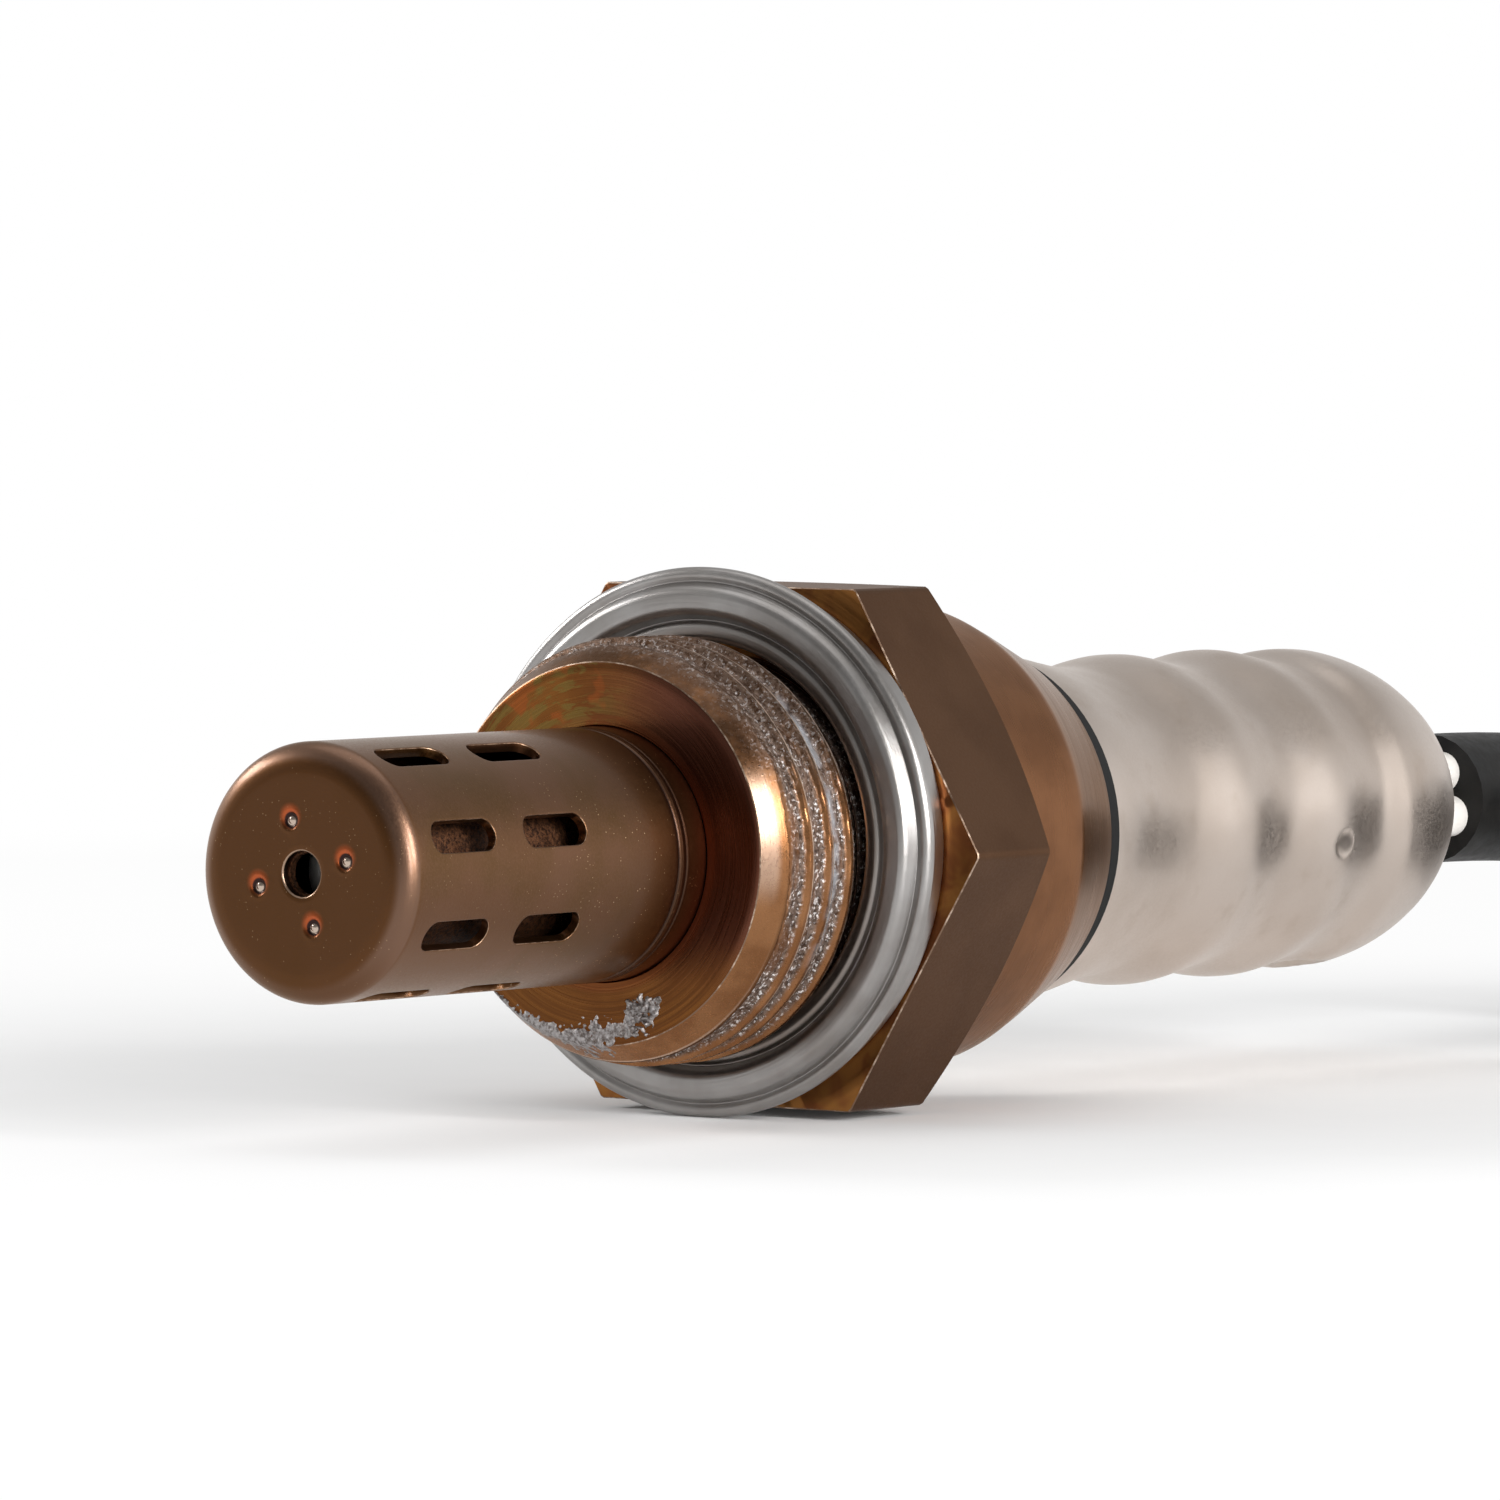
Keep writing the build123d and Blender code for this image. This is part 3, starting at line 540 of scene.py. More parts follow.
def thread_steel():
    """Copper-brown thread with a painted highlight along its crests and on the chamfer, painted shadow behind
    the crests, and silver anti-seize grit packed between them.
    """
    s = Shader("thread_steel")
    start = THREAD_START_X
    s.colour = s.patches(s.noise(0.45, 3.0), (0.24, 0.103, 0.04), (0.32, 0.148, 0.062), 0.38, 0.62)
    # Darker in patches towards the top.
    darker_above = s.times(s.ramp(s.z, 1.5, 5.0), s.ramp(s.noise(1.2, 3.0), 0.25, 0.6, 0.6, 1.0))
    s.paint((0.08, 0.035, 0.014), darker_above)
    # A pale patch on the chamfer's right side: a painted highlight.
    painted_chamfer_highlight = s.times(s.band(s.z, -0.5, 2.6, 1.6), s.ramp(s.x, start - 0.3, start - 0.7))
    s.paint((0.52, 0.37, 0.28), painted_chamfer_highlight, s.ramp(s.y, -3.0, -6.0, 0.0, 0.6))

    fine = s.noise(4.5, 5.0, 0.75)
    sparkle = s.ramp(s.noise(5.5, 3.0, 0.7), 0.55, 0.62)
    cover = s.noise(0.6, 3.0, place=s.turned(1.4, 0.6, 0.6))
    offset = turns_from_crest(s)
    packed = s.times(s.ramp(s.x, start, start + 0.3), s.ramp(s.math("ABSOLUTE", offset), 0.13, 0.2))
    amount = s.ramp(s.plus(cover, s.times(fine, 0.3)), 0.42, 0.66, 0.35, 1.0)
    top_dust = s.times(s.ramp(s.z, 2.0, 5.5), s.ramp(s.x, start - 0.9, start + 0.1, 0.1, 1.0))
    grit = s.math("MAXIMUM", s.times(amount, packed), s.times(top_dust, 0.55))
    grit_colour = s.patches(fine, (0.034, 0.018, 0.012), (0.235, 0.172, 0.138), 0.34, 0.62)
    sparkle_share = s.times(sparkle, s.ramp(s.z, 2.0, 5.5, 1.0, 0.5))
    grit_colour = s.mix(sparkle_share, grit_colour, (0.86, 0.83, 0.82))
    s.paint(grit_colour, grit)

    smear = s.times(s.band(s.x, -5.35, -4.7, 0.3), s.band(s.z, -3.0, 5.5, 2.5))
    smear = s.times(smear, s.ramp(s.noise(0.9, 3.0), 0.36, 0.55))
    s.paint((0.46, 0.48, 0.52), smear, 0.8)
    threaded = s.ramp(s.x, start - 0.2, start + 0.1)
    ragged = s.plus(offset, s.times(s.minus(fine, 0.5), 0.05))
    # A thin painted highlight along each crest, and a painted shadow just behind it.
    painted_crest_highlight = s.times(s.band(ragged, 0.045, 0.095, 0.015), threaded)
    s.paint((0.66, 0.51, 0.41), painted_crest_highlight, 0.85)
    painted_crest_shadow = s.times(s.band(ragged, 0.12, 0.23, 0.03), threaded)
    s.paint((0.035, 0.016, 0.01), painted_crest_shadow, 0.85)

    rough = s.plus(s.times(grit, 0.18), s.uneven(fine, 0.24, 0.34))
    grains = s.times(s.plus(fine, s.times(sparkle, 0.3)), grit)
    lines = s.noise(1.0, 2.0, place=s.turned(12, 0.2, 6))
    normal = s.bump(lines, 0.008, 0.5, s.bump(grains, 0.07, 0.9))
    metallic = s.minus(1.0, s.times(grit, 0.2))
    shine = {"Coat_Weight": 0.15, "Coat_Roughness": 0.14, "Specular_Tint": (0.8, 0.64, 0.54)}
    return s.finish(rough, metallic, normal, **shine)


def hex_face_steel():
    """The hexagon's front face: dark red-brown going to amber."""
    s = Shader("hex_face_steel")
    patches = s.noise(0.4, 3.0, distortion=0.5)
    s.colour = s.patches(patches, (0.215, 0.075, 0.027), (0.37, 0.16, 0.044), 0.4, 0.62)
    turning = s.noise(1.0, 3.0, place=s.turned(8, 0.15, 8))
    return s.finish(s.uneven(turning, 0.3, 0.42), 1.0, s.bump(turning, 0.006, 0.5))


def flat_steel():
    """The hexagon's flats: matt brown oxide."""
    s = Shader("flat_steel")
    s.colour = s.patches(s.noise(0.25, 3.0), (0.092, 0.043, 0.02), (0.109, 0.053, 0.026))
    grain = s.noise(8.0, 4.0, 0.7)
    s.paint((0.17, 0.095, 0.06), s.ramp(grain, 0.62, 0.78, 0.0, 0.5))
    rough = s.uneven(grain, 0.42, 0.52)
    return s.finish(rough, 1.0, s.bump(grain, 0.006, 0.6), Specular_Tint=(1.0, 0.95, 0.91))


def edge_steel():
    """A worn edge, bright only where it was knocked."""
    s = Shader("edge_steel")
    wear = s.noise(1.1, 4.0, 0.7)
    s.colour = s.patches(wear, (0.24, 0.15, 0.1), (0.7, 0.54, 0.42), 0.45, 0.68)
    return s.finish(s.uneven(wear, 0.34, 0.42), 1.0, s.bump(wear, 0.01, 0.5))


def collar_steel():
    """The crimped collar: copper-bronze satin with fine turning lines."""
    s = Shader("collar_steel")
    s.colour = s.patches(s.noise(0.3, 3.0), (0.175, 0.07, 0.026), (0.225, 0.095, 0.038))
    lip = s.ramp(s.x, COLLAR_END_X - 0.3, COLLAR_END_X + 0.9)
    s.paint((0.115, 0.048, 0.018), lip, 0.9)
    turning = s.noise(1.0, 3.0, place=s.turned(9, 0.1, 0))
    shine = {"Coat_Weight": 0.2, "Coat_Roughness": 0.15, "Specular_Tint": (0.93, 0.8, 0.7)}
    return s.finish(s.uneven(turning, 0.26, 0.36), 1.0, s.bump(turning, 0.006, 0.5), **shine)


def gasket_steel():
    """Rolled grey steel, satin, with fine drawing lines round it, going darker and browner towards the
    inside.
    """
    s = Shader("gasket_steel")
    s.colour = s.patches(s.noise(0.35, 3.0), (0.325, 0.306, 0.292), (0.39, 0.375, 0.365))
    # Darker and browner towards the inside.
    s.paint((0.21, 0.165, 0.135), s.ramp(s.radius, 9.7, 8.9), 0.6)
    streak = s.noise(1.0, 4.0, 0.65, place=s.turned(7, 0.2, 7))
    grain = s.noise(6.0, 4.0, 0.7)
    normal = s.bump(streak, 0.014, 0.7, s.bump(grain, 0.006, 0.5))
    return s.finish(s.uneven(grain, 0.29, 0.38), 1.0, normal)


def sleeve_steel():
    """Bead-blasted stainless sleeve, with painted shade in the pit of its small stake."""
    s = Shader("sleeve_steel")
    s.colour = s.patches(s.noise(0.14, 3.0), (0.535, 0.452, 0.39), (0.597, 0.518, 0.46))
    stain = s.ramp(s.noise(0.5, 3.0, place=s.moved(4, 4, 1)), 0.55, 0.75)
    s.paint((0.46, 0.37, 0.3), stain, 0.35)
    # A dark spot just behind the stake's middle: painted shade in its pit.
    stake_x, stake_angle = STAKES[0][:2]
    pit = on_axis(stake_x + 0.25, sleeve_radius(stake_x), stake_angle)
    from_pit = s.measure("DISTANCE", s.place, pit)
    s.paint((0.1, 0.085, 0.075), s.ramp(from_pit, 0.3, 0.6, 0.85, 0.0))
    grain = s.noise(7.0, 4.0, 0.7)
    return s.finish(s.uneven(grain, 0.31, 0.42), 1.0, s.bump(grain, 0.006, 0.6))


def grit_metal():
    """Grey metallic grit and flakes."""
    s = Shader("grit")
    grain = s.noise(5.0, 4.0, 0.7)
    s.colour = s.patches(grain, (0.14, 0.115, 0.103), (0.43, 0.412, 0.41), 0.35, 0.62)
    return s.finish(s.uneven(grain, 0.3, 0.5), 0.85, s.bump(grain, 0.08, 0.9))


def dull(name, dark, light, rough, metallic=0.0, shine=0.5):
    """A plain moulded, fired or woven stuff with fine grain."""
    s = Shader(name)
    grain = s.noise(1.5, 4.0, 0.65)
    broad = s.noise(0.125, 3.0)
    s.colour = s.patches(s.plus(s.times(grain, 0.4), s.times(broad, 0.6)), dark, light)
    roughness = s.uneven(grain, rough - 0.06, rough + 0.06)
    return s.finish(roughness, metallic, s.bump(grain, 0.02, 0.6), Specular_IOR_Level=shine)


TUBE = tube_steel()
FACE = face_steel()
THREAD = thread_steel()
HEX_FACE = hex_face_steel()
FLAT = flat_steel()
SLOT_RIM_HIGHLIGHT = slot_edge_steel()
INNER = inner_steel()
EDGE = edge_steel()
COLLAR = collar_steel()
GASKET = gasket_steel()
SLEEVE = sleeve_steel()
GRIT = grit_metal()
# Near black: the ring's own dark colour with painted shade of the gap between the lip and the sleeve.
SEAL_AND_GAP_SHADE = dull("seal", (0.004, 0.004, 0.004), (0.009, 0.009, 0.009), 0.6, shine=0.2)
RUBBER = dull("rubber", (0.018, 0.018, 0.019), (0.035, 0.035, 0.036), 0.55)
SLEEVING = dull("sleeving", (0.005, 0.005, 0.005), (0.012, 0.011, 0.01), 0.5, shine=0.2)
WHITE_WIRE = dull("white_wire", (0.74, 0.71, 0.66), (0.84, 0.81, 0.77), 0.4)
GREY_WIRE = dull("grey_wire", (0.22, 0.23, 0.24), (0.3, 0.31, 0.32), 0.45)
BLACK_WIRE = dull("black_wire", (0.012, 0.012, 0.012), (0.025, 0.025, 0.025), 0.4)
CERAMIC = dull("ceramic", (0.72, 0.7, 0.65), (0.84, 0.82, 0.78), 0.6)
TALC = dull("talc", (0.62, 0.6, 0.55), (0.74, 0.72, 0.68), 0.8)
SPRING = dull("spring", (0.4, 0.38, 0.35), (0.55, 0.53, 0.5), 0.35, metallic=1.0)
BRASS = dull("tinned_brass", (0.52, 0.5, 0.46), (0.66, 0.64, 0.6), 0.3, metallic=1.0)
PLASTIC = dull("plastic", (0.03, 0.03, 0.032), (0.05, 0.05, 0.052), 0.5)
LOCK = dull("lock_plastic", (0.3, 0.32, 0.33), (0.38, 0.4, 0.41), 0.5)
NYLON = dull("tie_nylon", (0.02, 0.02, 0.02), (0.04, 0.04, 0.04), 0.4)
lead.data.materials.append(SLEEVING)

NODE_MATERIALS = [
    (INNER, "inner_protection_tube"),
    (SEAL_AND_GAP_SHADE, "lip_seal_ring"),
    (CERAMIC, "zirconia_element", "heater_rod", "ceramic_packing_sleeve", "terminal_insulator"),
    (TALC, "talc_ring"),
    (SPRING, "inner_contact_clip", "seat_washer", "crimp_ring", "retaining_spring"),
    (BRASS, "heater_1_terminal", "heater_2_terminal", "ground_terminal", "signal_terminal", "connector_pins"),
    (WHITE_WIRE, "heater_1_wire", "heater_2_wire"),
    (GREY_WIRE, "ground_wire"),
    (BLACK_WIRE, "signal_wire"),
    (RUBBER, "rear_grommet", "connector_boot"),
    (NYLON, "hank_tie"),
    (PLASTIC, "connector_housing"),
    (LOCK, "connector_lock"),
]
for material, *nodes in NODE_MATERIALS:
    for node in nodes:
        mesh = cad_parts[node].data
        mesh.materials.clear()
        mesh.materials.append(material)


# ---- housing ----
THREAD_ROW_STEP = 0.05
THREAD_RUN_IN = (0.8, 1.0)  # where the grooves begin and where they are deep, behind the face
THREAD_FILL, THREAD_FILL_SPREAD = 0.36, 0.2  # the least depth that grit leaves, and how much more
FRONT_EDGE = 0.06
POCKET_GAP = 0.05  # round the pieces that sit inside
FACE_ROWS, COLLAR_ROWS, LIP_ROWS = (6.0, 6.6, 7.2, 7.6), (8.5, 10.0, 11.5), (13.5, 14.7, 15.9, 16.8)
HEX_ROWS, COLLAR_ROOT_STEPS = 8, 6
HOUSING_ZONES = {
    "face": 0, "edge": 1, "thread": 2, "thread_end": 2, "hex_face": 3, "hex_front": 1, "hex": 4,
    "rear": 4, "collar": 5, "lip": 5,
}


def thread_radius(x, angle):
    """A right-handed 60 degree thread cut back by the lead-in chamfer and part filled with grit."""
    turns = (x - THREAD_CREST_X) / THREAD_PITCH + angle / 360
    away = abs(turns - round(turns))
    share = min(max((away - THREAD_CREST) / (0.5 - THREAD_CREST - THREAD_ROOT), 0), 1)
    place = on_axis(x, THREAD_RADIUS, angle)
    filled = 0.5 + 0.5 * noise.noise(place * 0.4)
    depth = min(share * THREAD_DEPTH, THREAD_DEPTH * (THREAD_FILL + THREAD_FILL_SPREAD * filled))
    rough = (0.03 * noise.noise(place * 2.6) + 0.03 * noise.noise(place * 6.0)) * min(1, share * 4)
    chamfer = RIM_RADIUS + (x - FACE_X) * CHAMFER_SLOPE
    begin, full = THREAD_RUN_IN
    start = 1 if x > FACE_X + full else max(0, (x - FACE_X - begin) / (full - begin))
    return min(chamfer, THREAD_RADIUS - (depth + rough) * start)


def hex_radius(angle):
    """The hexagon's outline, with a corner at angle 0 and its corners barely worn."""
    off = (angle % 60) - 30
    return min(HEX_APOTHEM / cos(radians(off)), HEX_CORNER - HEX_CORNER_WEAR)


def housing_shape(x, radius, angle, zone):
    """A row's (x, radius) at this angle. In the hexagon's zone x is a share of its length."""
    if zone == "thread":
        return x, thread_radius(x, angle)
    if zone == "hex":
        edge_x = HEX_LENGTH - (hex_radius(angle) - HEX_APOTHEM) * HEX_CHAMFER_SLOPE
        return HEX_EDGE + (edge_x - HEX_EDGE) * x, hex_radius(angle)
    if zone == "hex_front":
        nick = 0.05 * max(0, noise.noise(on_axis(0, 12, angle) * 0.9) - 0.1)
        return x + nick, hex_radius(angle) + radius - nick
    return x, radius


def housing_outside():
    """(x, radius, zone) from the tube's bore over the front to the end of the crimped lip."""
    bore = TUBE_RADIUS + JOINT_GAP
    rows = [(FACE_X + 0.05, bore, "face"), (FACE_X, bore + 0.05, "face")]
    rows += [(FACE_X, radius, "face") for radius in (*FACE_ROWS, RIM_RADIUS - 0.08)]
    rows += [(FACE_X + 0.03, RIM_RADIUS - 0.02, "edge")]
    length = -RELIEF_LENGTH - FACE_X
    steps = round(length / THREAD_ROW_STEP)
    for step in range(steps + 1):
        rows.append((FACE_X + FRONT_EDGE + step * (length - FRONT_EDGE) / steps, 0, "thread"))
    rows += [(-RELIEF_LENGTH + 0.02, RELIEF_RADIUS, "thread_end"), (0, RELIEF_RADIUS, "hex_face")]
    rows += [(0, 9.5, "hex_face"), (0, 10.6, "hex_face")]
    rows += [(0, -HEX_EDGE, "hex_front")] + [(row / HEX_ROWS, 0, "hex") for row in range(HEX_ROWS + 1)]
    rows += [(HEX_LENGTH, HEX_APOTHEM - 0.03, "rear"), (HEX_LENGTH, COLLAR_RADIUS + COLLAR_ROOT, "rear")]
    for step in range(1, COLLAR_ROOT_STEPS + 1):
        turn = radians(step * 90 / COLLAR_ROOT_STEPS)
        x = HEX_LENGTH + COLLAR_ROOT * (1 - cos(turn))
        rows.append((x, COLLAR_RADIUS + COLLAR_ROOT * (1 - sin(turn)), "collar"))
    rows += [(x, COLLAR_RADIUS, "collar") for x in (*COLLAR_ROWS, COLLAR_END_X - 0.25)]
    rows.append((COLLAR_END_X, COLLAR_RADIUS - 0.03, "collar"))
    rows.append((COLLAR_END_X + 0.25, COLLAR_RADIUS - 0.11, "lip"))
    slope = (LIP_RADIUS - COLLAR_RADIUS) / (LIP_END_X - COLLAR_END_X)
    rows += [(x, COLLAR_RADIUS + (x - COLLAR_END_X) * slope, "lip") for x in LIP_ROWS]
    return rows + [(LIP_END_X - 0.04, LIP_RADIUS - 0.02, "lip"), (LIP_END_X, LIP_RADIUS - 0.1, "lip")]


def housing_inside():
    """(x, radius, zone) from the lip's mouth past the pieces inside to the tube's bore."""
    packing, packing_x = high("talc_ring").y + POCKET_GAP, low("talc_ring").x
    flange = high("outer_protection_tube").y + POCKET_GAP
    flange_x, flange_end_x = FACE_X + FRONT_RIM, high("outer_protection_tube").x + INNER_FLANGE
    rows = [
        (LIP_END_X, LIP_BORE), (high("crimp_ring").x, LIP_BORE), (high("crimp_ring").x, packing),
        (packing_x, packing), (packing_x, SHOULDER_BORE), (SEAT_DEPTH, SHOULDER_BORE),
        (SEAT_DEPTH, THROAT_BORE), (flange_end_x, THROAT_BORE), (flange_end_x, flange), (flange_x, flange),
    ]
    return [(*row, "lip") for row in rows] + [(flange_x, TUBE_RADIUS + JOINT_GAP, "face")]


def housing_angles():
    """Whole degrees, and closer steps at the hexagon's corners."""
    extra = [corner + off for corner in range(0, 360, 60) for off in (-0.4, -0.15, 0.15, 0.4)]
    return sorted(even_angles(360) + [angle % 360 for angle in extra])


def make_housing():
    angles = housing_angles()
    rows = housing_outside() + housing_inside()
    points = []
    for x, radius, zone in rows:
        for angle in angles:
            points.append(on_axis(*housing_shape(x, radius, angle, zone), angle))
    count = len(angles)
    faces = band_faces(len(rows), count)
    last = (len(rows) - 1) * count
    faces += [(last + n, last + (n + 1) % count, (n + 1) % count, n) for n in range(count)]
    zones = [HOUSING_ZONES[zone] for _, _, zone in rows for _ in angles]
    materials = [FACE, EDGE, THREAD, HEX_FACE, FLAT, COLLAR]
    piece = add_piece("housing", points, faces, materials, 30, zones)
    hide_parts("sensor_housing")


make_housing()


# ---- gasket ----
def make_gasket():
    """A folded strip of sheet, not quite true."""
    outline = strip_outline(rounded(GASKET_FOLDS, GASKET_RADII, GASKET_FOLD_STEPS), GASKET_SHEET)

    def uneven(x, radius, angle):
        place = on_axis(x, radius, angle)
        grown = 0.03 * noise.noise(place * 0.25 + Vector((5, 5, 5)))
        return x + 0.04 * noise.noise(place * 0.2), radius + grown

    profile = [(point.x, point.y) for point in outline]
    piece = lathe("gasket", profile, GASKET_STEPS, GASKET, uneven, 60, GASKET_LIFT)
    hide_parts("crush_gasket")


make_gasket()


# ---- protection tube ----
CELLS_START_X, CELLS_MIDDLE_X = TIP_X + TUBE_EDGE, sum(SLOT_CENTRES) / 2
CELLS_END_X = SLOT_CENTRES[1] + (CELLS_MIDDLE_X - SLOT_CENTRES[0])
CELL_HALF_ANGLE = 180 / SLOT_COUNT
CELL_ROUND, CELL_LONG = 24, 30  # steps of the mesh round a slot's cell
CELL_SHARES = (1, 0.82, 0.62, 0.44, 0.28, 0.14, 0.05)  # of the way from the slot out to the cell's border
RIM_HIGHLIGHT_RINGS = range(9, 11)  # which of a cell's rings of faces carry the slot edge's painted highlight
MARKED_LENGTH, MARKED_STEPS = 2.2, 44  # the stretch ahead of the housing's face that has the ring marks


def cell_border(start_x, end_x):
    """Points round a slot's cell, as (x, angle off the slot's centre)."""
    half = CELL_HALF_ANGLE
    points = []
    for step in range(CELL_ROUND):
        points.append((end_x, -half + 2 * half * step / CELL_ROUND))
    for step in range(CELL_LONG):
        points.append((end_x + (start_x - end_x) * step / CELL_LONG, half))
    for step in range(CELL_ROUND):
        points.append((start_x, half - 2 * half * step / CELL_ROUND))
    for step in range(CELL_LONG):
        points.append((start_x + (end_x - start_x) * step / CELL_LONG, -half))
    return points


def slot_points(centre_x, grow):
    """Points of a slot's outline grown by this much, in step with the cell's points."""
    straight = SLOT_HALF_LENGTH - SLOT_HALF_WIDTH
    half_width = SLOT_HALF_WIDTH + grow
    points = []
    for side in (1, -1):
        for step in range(CELL_ROUND):
            turn = radians(-90 + 180 * step / CELL_ROUND)
            points.append((side * (straight + half_width * cos(turn)), side * half_width * sin(turn)))
        for step in range(CELL_LONG):
            points.append((side * straight * (1 - 2 * step / CELL_LONG), side * half_width))
    return [(centre_x + x, degrees(across / TUBE_RADIUS)) for x, across in points]


def slot_cell(centre_x, start_x, end_x, middle_angle):
    """Rings of points from the cell's outer border over the slot's rounded edge to its inner border."""
    border = cell_border(start_x, end_x)

    def ring(share, grow, depth):
        points = []
        for (border_x, border_angle), (slot_x, slot_angle) in zip(border, slot_points(centre_x, grow)):
            x = slot_x + (border_x - slot_x) * share
            angle = slot_angle + (border_angle - slot_angle) * share
            points.append(on_axis(x, TUBE_RADIUS - depth, middle_angle + angle))
        return points

    rings = [ring(share, SLOT_EDGE, 0) for share in CELL_SHARES]
    for step in range(5):
        turn = radians(step * 22.5)
        rings.append(ring(0, SLOT_EDGE * (1 - sin(turn)), SLOT_EDGE * (1 - cos(turn))))
    rings.append(ring(0, 0, TUBE_WALL * 0.6))
    return rings + [ring(share, 0, TUBE_WALL) for share in (0, 0.3, 0.65, 1)]


def dimple(radius, angle):
    """How far a weld dimple in the end disc pushes this point back."""
    here = on_axis(0, radius, angle)
    deepest = 0.0
    for middle in DIMPLE_ANGLES:
        away = (here - on_axis(0, DIMPLE_CIRCLE, middle)).length / DIMPLE_RADIUS
        if away < 1:
            pit = cos(away * pi / 2) ** 0.6 * DIMPLE_DEPTH
            deepest = pit - NUGGET_HEIGHT * max(0, 1 - (away / 0.5) ** 2)
        elif away < 1.5:
            deepest = -DIMPLE_BRIM * sin((away - 1) * 2 * pi)
    return deepest


def front_rows():
    """(x, radius) of the end disc and its rounded edge."""
    flat_radius = TUBE_RADIUS - TUBE_EDGE_WIDTH
    rows = [(TIP_X + TUBE_WALL, GAS_HOLE), (TIP_X + 0.08, GAS_HOLE), (TIP_X + 0.02, GAS_HOLE + 0.03)]
    rows += [(TIP_X, GAS_HOLE + 0.09), (TIP_X, 1.2), (TIP_X, 1.5), (TIP_X, 1.72)]
    rows += [(TIP_X, DIMPLE_CIRCLE + (step - 9) * 0.05) for step in range(19)]
    rows += [(TIP_X, 2.9), (TIP_X, 3.3), (TIP_X, 3.7)]
    for step in range(16):
        turn = radians(step * 6)
        rows.append((TIP_X + TUBE_EDGE * (1 - cos(turn)), flat_radius + TUBE_EDGE_WIDTH * sin(turn)))
    return rows


def rear_rows():
    """(x, radius) of the plain stretch behind the slots, the ring marks and the flange."""
    marked_x = FACE_X - MARKED_LENGTH
    rows = [(CELLS_END_X + (marked_x - CELLS_END_X) * step / 8, TUBE_RADIUS) for step in range(9)]
    for step in range(1, MARKED_STEPS + 1):
        x = marked_x + step * MARKED_LENGTH / MARKED_STEPS
        dip = 0
        for place, half, depth in RING_MARKS:
            dip += depth * max(0, 1 - ((FACE_X - x - place) / half) ** 2)
        rows.append((x, TUBE_RADIUS - dip))
    base_x = FACE_X + FRONT_RIM
    flange = high("outer_protection_tube").y
    rows += [(base_x, TUBE_RADIUS), (base_x, flange), (base_x + TUBE_WALL, flange)]
    return rows + [(base_x + TUBE_WALL, TUBE_RADIUS - TUBE_WALL), (CELLS_END_X, TUBE_RADIUS - TUBE_WALL)]


def inside_rows():
    """(x, radius) of the inside between the slots' cells and the gas hole."""
    inner, disc_x = TUBE_RADIUS - TUBE_WALL, TIP_X + TUBE_WALL
    flat_radius = TUBE_RADIUS - TUBE_EDGE_WIDTH
    rows = [(CELLS_START_X, inner), (CELLS_START_X - 0.25, inner - 0.05), (disc_x + 0.12, flat_radius + 0.2)]
    return rows + [(disc_x, flat_radius), (disc_x, GAS_HOLE)]


def turned_rings(rows):
    """A ring of points for each of the rows, in step with the cells, with the dimples in the end disc."""
    steps = SLOT_COUNT * CELL_ROUND
    angles = [SLOT_PHASE - CELL_HALF_ANGLE + step * 360 / steps for step in range(steps)]
    rings = []
    for x, radius in rows:
        pushed = [dimple(radius, angle) if x == TIP_X else 0 for angle in angles]
        rings.append([on_axis(x + push, radius, angle) for push, angle in zip(pushed, angles)])
    return rings


def make_protection_tube():
    points, faces, zones = [], [], []

    def add(rings, bright=()):
        first = len(points)
        faces.extend(tuple(first + n for n in face) for face in band_faces(len(rings), len(rings[0])))
        zones.extend(int(ring in bright) for ring in range(len(rings) - 1) for _ in rings[0])
        points.extend(point for ring in rings for point in ring)

    for centre_x, start_x, end_x in (
        (SLOT_CENTRES[0], CELLS_START_X, CELLS_MIDDLE_X), (SLOT_CENTRES[1], CELLS_MIDDLE_X, CELLS_END_X),
    ):
        for number in range(SLOT_COUNT):
            middle_angle = SLOT_PHASE + number * 2 * CELL_HALF_ANGLE
            add(slot_cell(centre_x, start_x, end_x, middle_angle), RIM_HIGHLIGHT_RINGS)
    for rows in (front_rows(), rear_rows(), inside_rows()):
        add(turned_rings(rows))
    materials = [TUBE, SLOT_RIM_HIGHLIGHT]
    piece = add_piece("protection_tube", points, faces, materials, 50, zones, seam=0.004)
    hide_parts("outer_protection_tube")


make_protection_tube()


# ---- rear sleeve ----
def make_sleeve():
    start_x, flange = low("rear_sleeve").x, high("rear_sleeve").y
    length = MOUTH_X - SLEEVE_FINE_X
    rows = [SLEEVE_FINE_X + row * length / SLEEVE_ROWS for row in range(SLEEVE_ROWS + 1)]
    profile = [(start_x, flange), (start_x + SLEEVE_WALL, flange), (start_x + SLEEVE_WALL, SLEEVE_NECK)]
    profile += [(x, sleeve_radius(x)) for x in [SLEEVE_FINE_X - 1] + rows]
    profile += [(x - 0.02, sleeve_radius(x) - SLEEVE_WALL) for x in rows[::-3]]
    profile += [(start_x, SLEEVE_NECK - SLEEVE_WALL)]

    def dented(x, radius, angle):
        place = on_axis(x, radius, angle)
        push = 0.05 * noise.noise(place * 0.22) + 0.02 * noise.noise(place * 0.7)
        for stake_x, stake_angle, half, depth in STAKES:
            across = radians((angle - stake_angle + 180) % 360 - 180) * radius
            away = hypot(x - stake_x, across) / half
            if away < 1:
                push -= depth * (1 - away * away) ** 0.8
        return x, radius + push

    piece = lathe("sleeve", profile, SLEEVE_STEPS, SLEEVE, dented, 50)
    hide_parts("rear_sleeve")


make_sleeve()


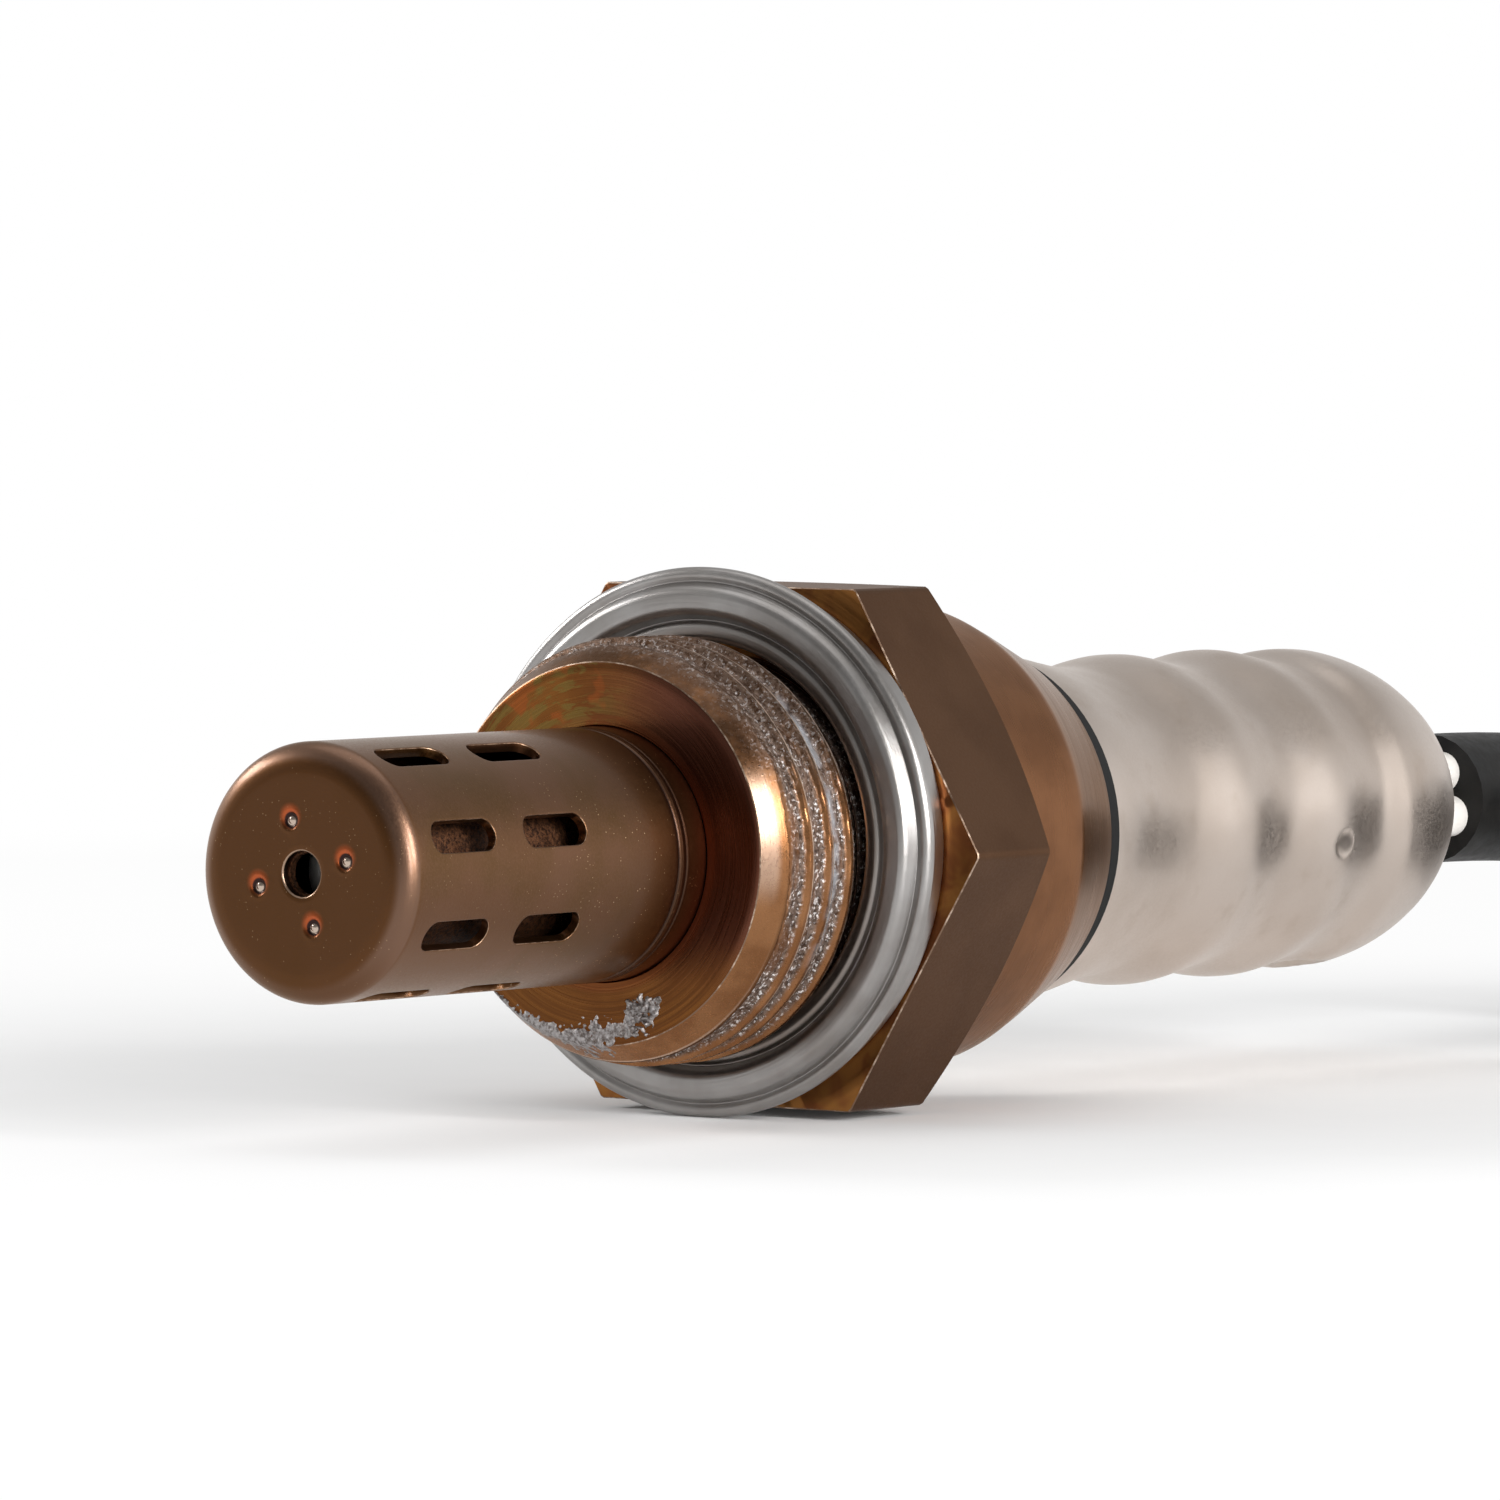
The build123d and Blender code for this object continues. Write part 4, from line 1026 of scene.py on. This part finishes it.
# ---- grit crusted on the rim of the thread ----
CRUST_START, CRUST_END = -142.0, -62.0  # angles
CRUST_STEPS, CRUST_ROWS = 260, 70
CRUST_INNER, CRUST_OUTER = 6.1, 8.75  # radii
CRUST_SUNK = 0.06  # how deep it goes where there is no grit
CRUST_TOP = 0.6  # its rounded top is cut off at this share
# angle, radius of the crust's middle, its half width and its height
CRUST_LINE = [
    (-142, 8.35, 0.15, 0.05), (-130, 8.2, 0.30, 0.13), (-118, 8.05, 0.30, 0.14), (-106, 7.95, 0.38, 0.18),
    (-96, 7.75, 0.55, 0.20), (-88, 7.55, 0.60, 0.18), (-81, 7.35, 0.36, 0.14), (-75, 6.95, 0.62, 0.34),
    (-68, 6.80, 0.52, 0.34), (-62, 6.7, 0.1, 0.0),
]


def crust_at(angle):
    """The crust's middle radius, half width and height at this angle."""
    for first, second in zip(CRUST_LINE, CRUST_LINE[1:]):
        if angle <= second[0]:
            share = (angle - first[0]) / (second[0] - first[0])
            return [start + (end - start) * share for start, end in zip(first[1:], second[1:])]
    return CRUST_LINE[-1][1:]


def front_x(radius):
    """The housing's face and lead-in chamfer at this radius."""
    return FACE_X + max(0, radius - RIM_RADIUS) / CHAMFER_SLOPE


def crust_point(angle, radius):
    """A point on the housing's face or chamfer, raised where grit lies."""
    middle, half, height = crust_at(angle)
    flat = on_axis(0, radius, angle)
    coarse, fine = noise.noise(flat * 1.7), noise.noise(flat * 4.5)
    ragged = half * (1.1 + 0.8 * coarse + 0.8 * fine + 0.4 * noise.noise(flat * 9.0))
    cover = 1 - ((radius - middle) / max(ragged, 0.02)) ** 2
    grains = 0.5 + 0.6 * fine + 0.45 * noise.noise(flat * 10.0)
    lift = height * max(0, min(cover, CRUST_TOP)) * grains - CRUST_SUNK * (1 - max(0, min(cover * 4, 1)))
    return on_axis(front_x(radius) - lift, radius, angle)


def keep_raised(crust):
    """Deletes the sunk stretches, which nobody sees, and closes the rest underneath."""
    work = bmesh.new()
    work.from_mesh(crust.data)
    low_faces = []
    for face in work.faces:
        middle = face.calc_center_median() / MM
        if middle.x > front_x(hypot(middle.y, middle.z)) + CRUST_SUNK * 0.9:
            low_faces.append(face)
    bmesh.ops.delete(work, geom=low_faces, context="FACES")
    solid = bmesh.ops.extrude_face_region(work, geom=work.faces[:], use_keep_orig=True)
    under = [part for part in solid["geom"] if isinstance(part, bmesh.types.BMVert)]
    bmesh.ops.translate(work, verts=under, vec=(CRUST_SUNK * 2 * MM, 0, 0))
    bmesh.ops.recalc_face_normals(work, faces=work.faces)
    work.to_mesh(crust.data)
    work.free()


def make_crust():
    points = []
    for row in range(CRUST_ROWS):
        radius = CRUST_INNER + (CRUST_OUTER - CRUST_INNER) * row / (CRUST_ROWS - 1)
        for step in range(CRUST_STEPS):
            angle = CRUST_START + (CRUST_END - CRUST_START) * step / (CRUST_STEPS - 1)
            points.append(crust_point(angle, radius))
    faces = band_faces(CRUST_ROWS, CRUST_STEPS, False)
    keep_raised(add_piece("rim_grit", points, faces, [GRIT], 80))


make_crust()


# ---- light, floor and backdrop ----
LAMPS = [  # name, place, target, width and height in millimetres, radiance
    ("key", (-70, -470, 170), (0, 0, 0), 160, 220, 17.0),
    ("front", (-250, -430, 105), (-20, 0, 0), 70, 190, 22.0),
    ("side", (330, -430, 150), (30, 0, 0), 170, 300, 1.0),
    ("rear", (-100, 440, 215), (0, 0, 0), 260, 90, 14.0),
    ("top", (60, 60, 700), (0, 0, 0), 700, 500, 0.8),
]
STUDIO_BRIGHT_SIDE = (0.80, 0.54, 0.26)
STUDIO_SIDE_FADE = (-0.5, 0.4, 0.38, 1.0)  # from and to these ways round, with these strengths
STUDIO_CEILING_FADE = (0.0, 0.6, 1.0, 0.55)
FLOOR_SHADE_CENTRE = (30, 0, 0)  # the floor is a lit grey round here, and fades to white
FLOOR_FADES = ((20, 100, 0.0, 0.85), (60, 220, 0.0, 1.0))
FLOOR_HALF = 4000
FLOOR_GAP = 0.01  # below the lowest point of the solid model


def area_lamp(name, place, target, width, height, radiance):
    """A soft box of this radiance."""
    data = bpy.data.lights.new(name, "AREA")
    data.shape = "RECTANGLE"
    data.size, data.size_y = width * MM, height * MM
    data.energy = radiance * pi * data.size * data.size_y
    lamp = add_object(name, data)
    aim = (Vector(target) - Vector(place)).normalized()
    turn = aim.to_track_quat("-Z", "Y").to_matrix().to_4x4()
    lamp.matrix_world = Matrix.Translation(Vector(place) * MM) @ turn


for lamp in LAMPS:
    area_lamp(*lamp)


def make_world():
    """A studio that lights the sensor from one side, and plain white behind it for the camera."""
    world = bpy.data.worlds.new("world")
    world.use_nodes = True
    s = Nodes(world.node_tree)
    way = s.node("ShaderNodeTexCoord").outputs["Generated"]
    side = s.ramp(s.measure("DOT_PRODUCT", way, STUDIO_BRIGHT_SIDE), *STUDIO_SIDE_FADE)
    up = s.node("ShaderNodeSeparateXYZ", None, [way]).outputs["Z"]
    strength = s.times(side, s.ramp(up, *STUDIO_CEILING_FADE))
    studio = s.node("ShaderNodeBackground", None, {"Color": (1, 1, 1), "Strength": strength})
    white = s.node("ShaderNodeBackground", None, {"Color": (1, 1, 1)})
    seen = s.node("ShaderNodeLightPath").outputs["Is Camera Ray"]
    mix = s.node("ShaderNodeMixShader", None, [seen, studio.outputs[0], white.outputs[0]])
    s.node("ShaderNodeOutputWorld", None, {"Surface": mix.outputs[0]})
    bpy.context.scene.world = world


make_world()


def make_floor():
    s = Shader("floor")
    flat = s.vector("MULTIPLY", s.place, (1, 1, 0))
    away = s.measure("DISTANCE", flat, FLOOR_SHADE_CENTRE)
    colour = s.mix(s.noise(0.3, 3.0), (0.88, 0.88, 0.88), (0.90, 0.90, 0.90))
    lit = s.node("ShaderNodeBsdfDiffuse", None, {"Color": colour})
    white = s.node("ShaderNodeEmission", None, {"Color": (1, 1, 1), "Strength": 1.0})
    path = s.node("ShaderNodeLightPath").outputs
    indirect = s.math("MAXIMUM", path["Is Glossy Ray"], path["Is Transmission Ray"])
    seen = s.math("MAXIMUM", path["Is Camera Ray"], indirect)
    share = s.math("MAXIMUM", *[s.ramp(away, *fade) for fade in FLOOR_FADES])
    mix = s.node("ShaderNodeMixShader", None, [s.times(share, seen), lit.outputs[0], white.outputs[0]])
    s.tree.links.new(mix.outputs[0], s.output.inputs["Surface"])
    half, floor_z = FLOOR_HALF, cad_low.z / MM - FLOOR_GAP
    outline = [(-half, -half), (half, -half), (half, half), (-half, half)]
    mesh = bpy.data.meshes.new("floor")
    mesh.from_pydata([Vector((x, y, floor_z)) * MM for x, y in outline], [], [(0, 1, 2, 3)])
    mesh.materials.append(s.material)
    add_object("floor", mesh)


make_floor()
bpy.context.scene.view_settings.view_transform = "Standard"
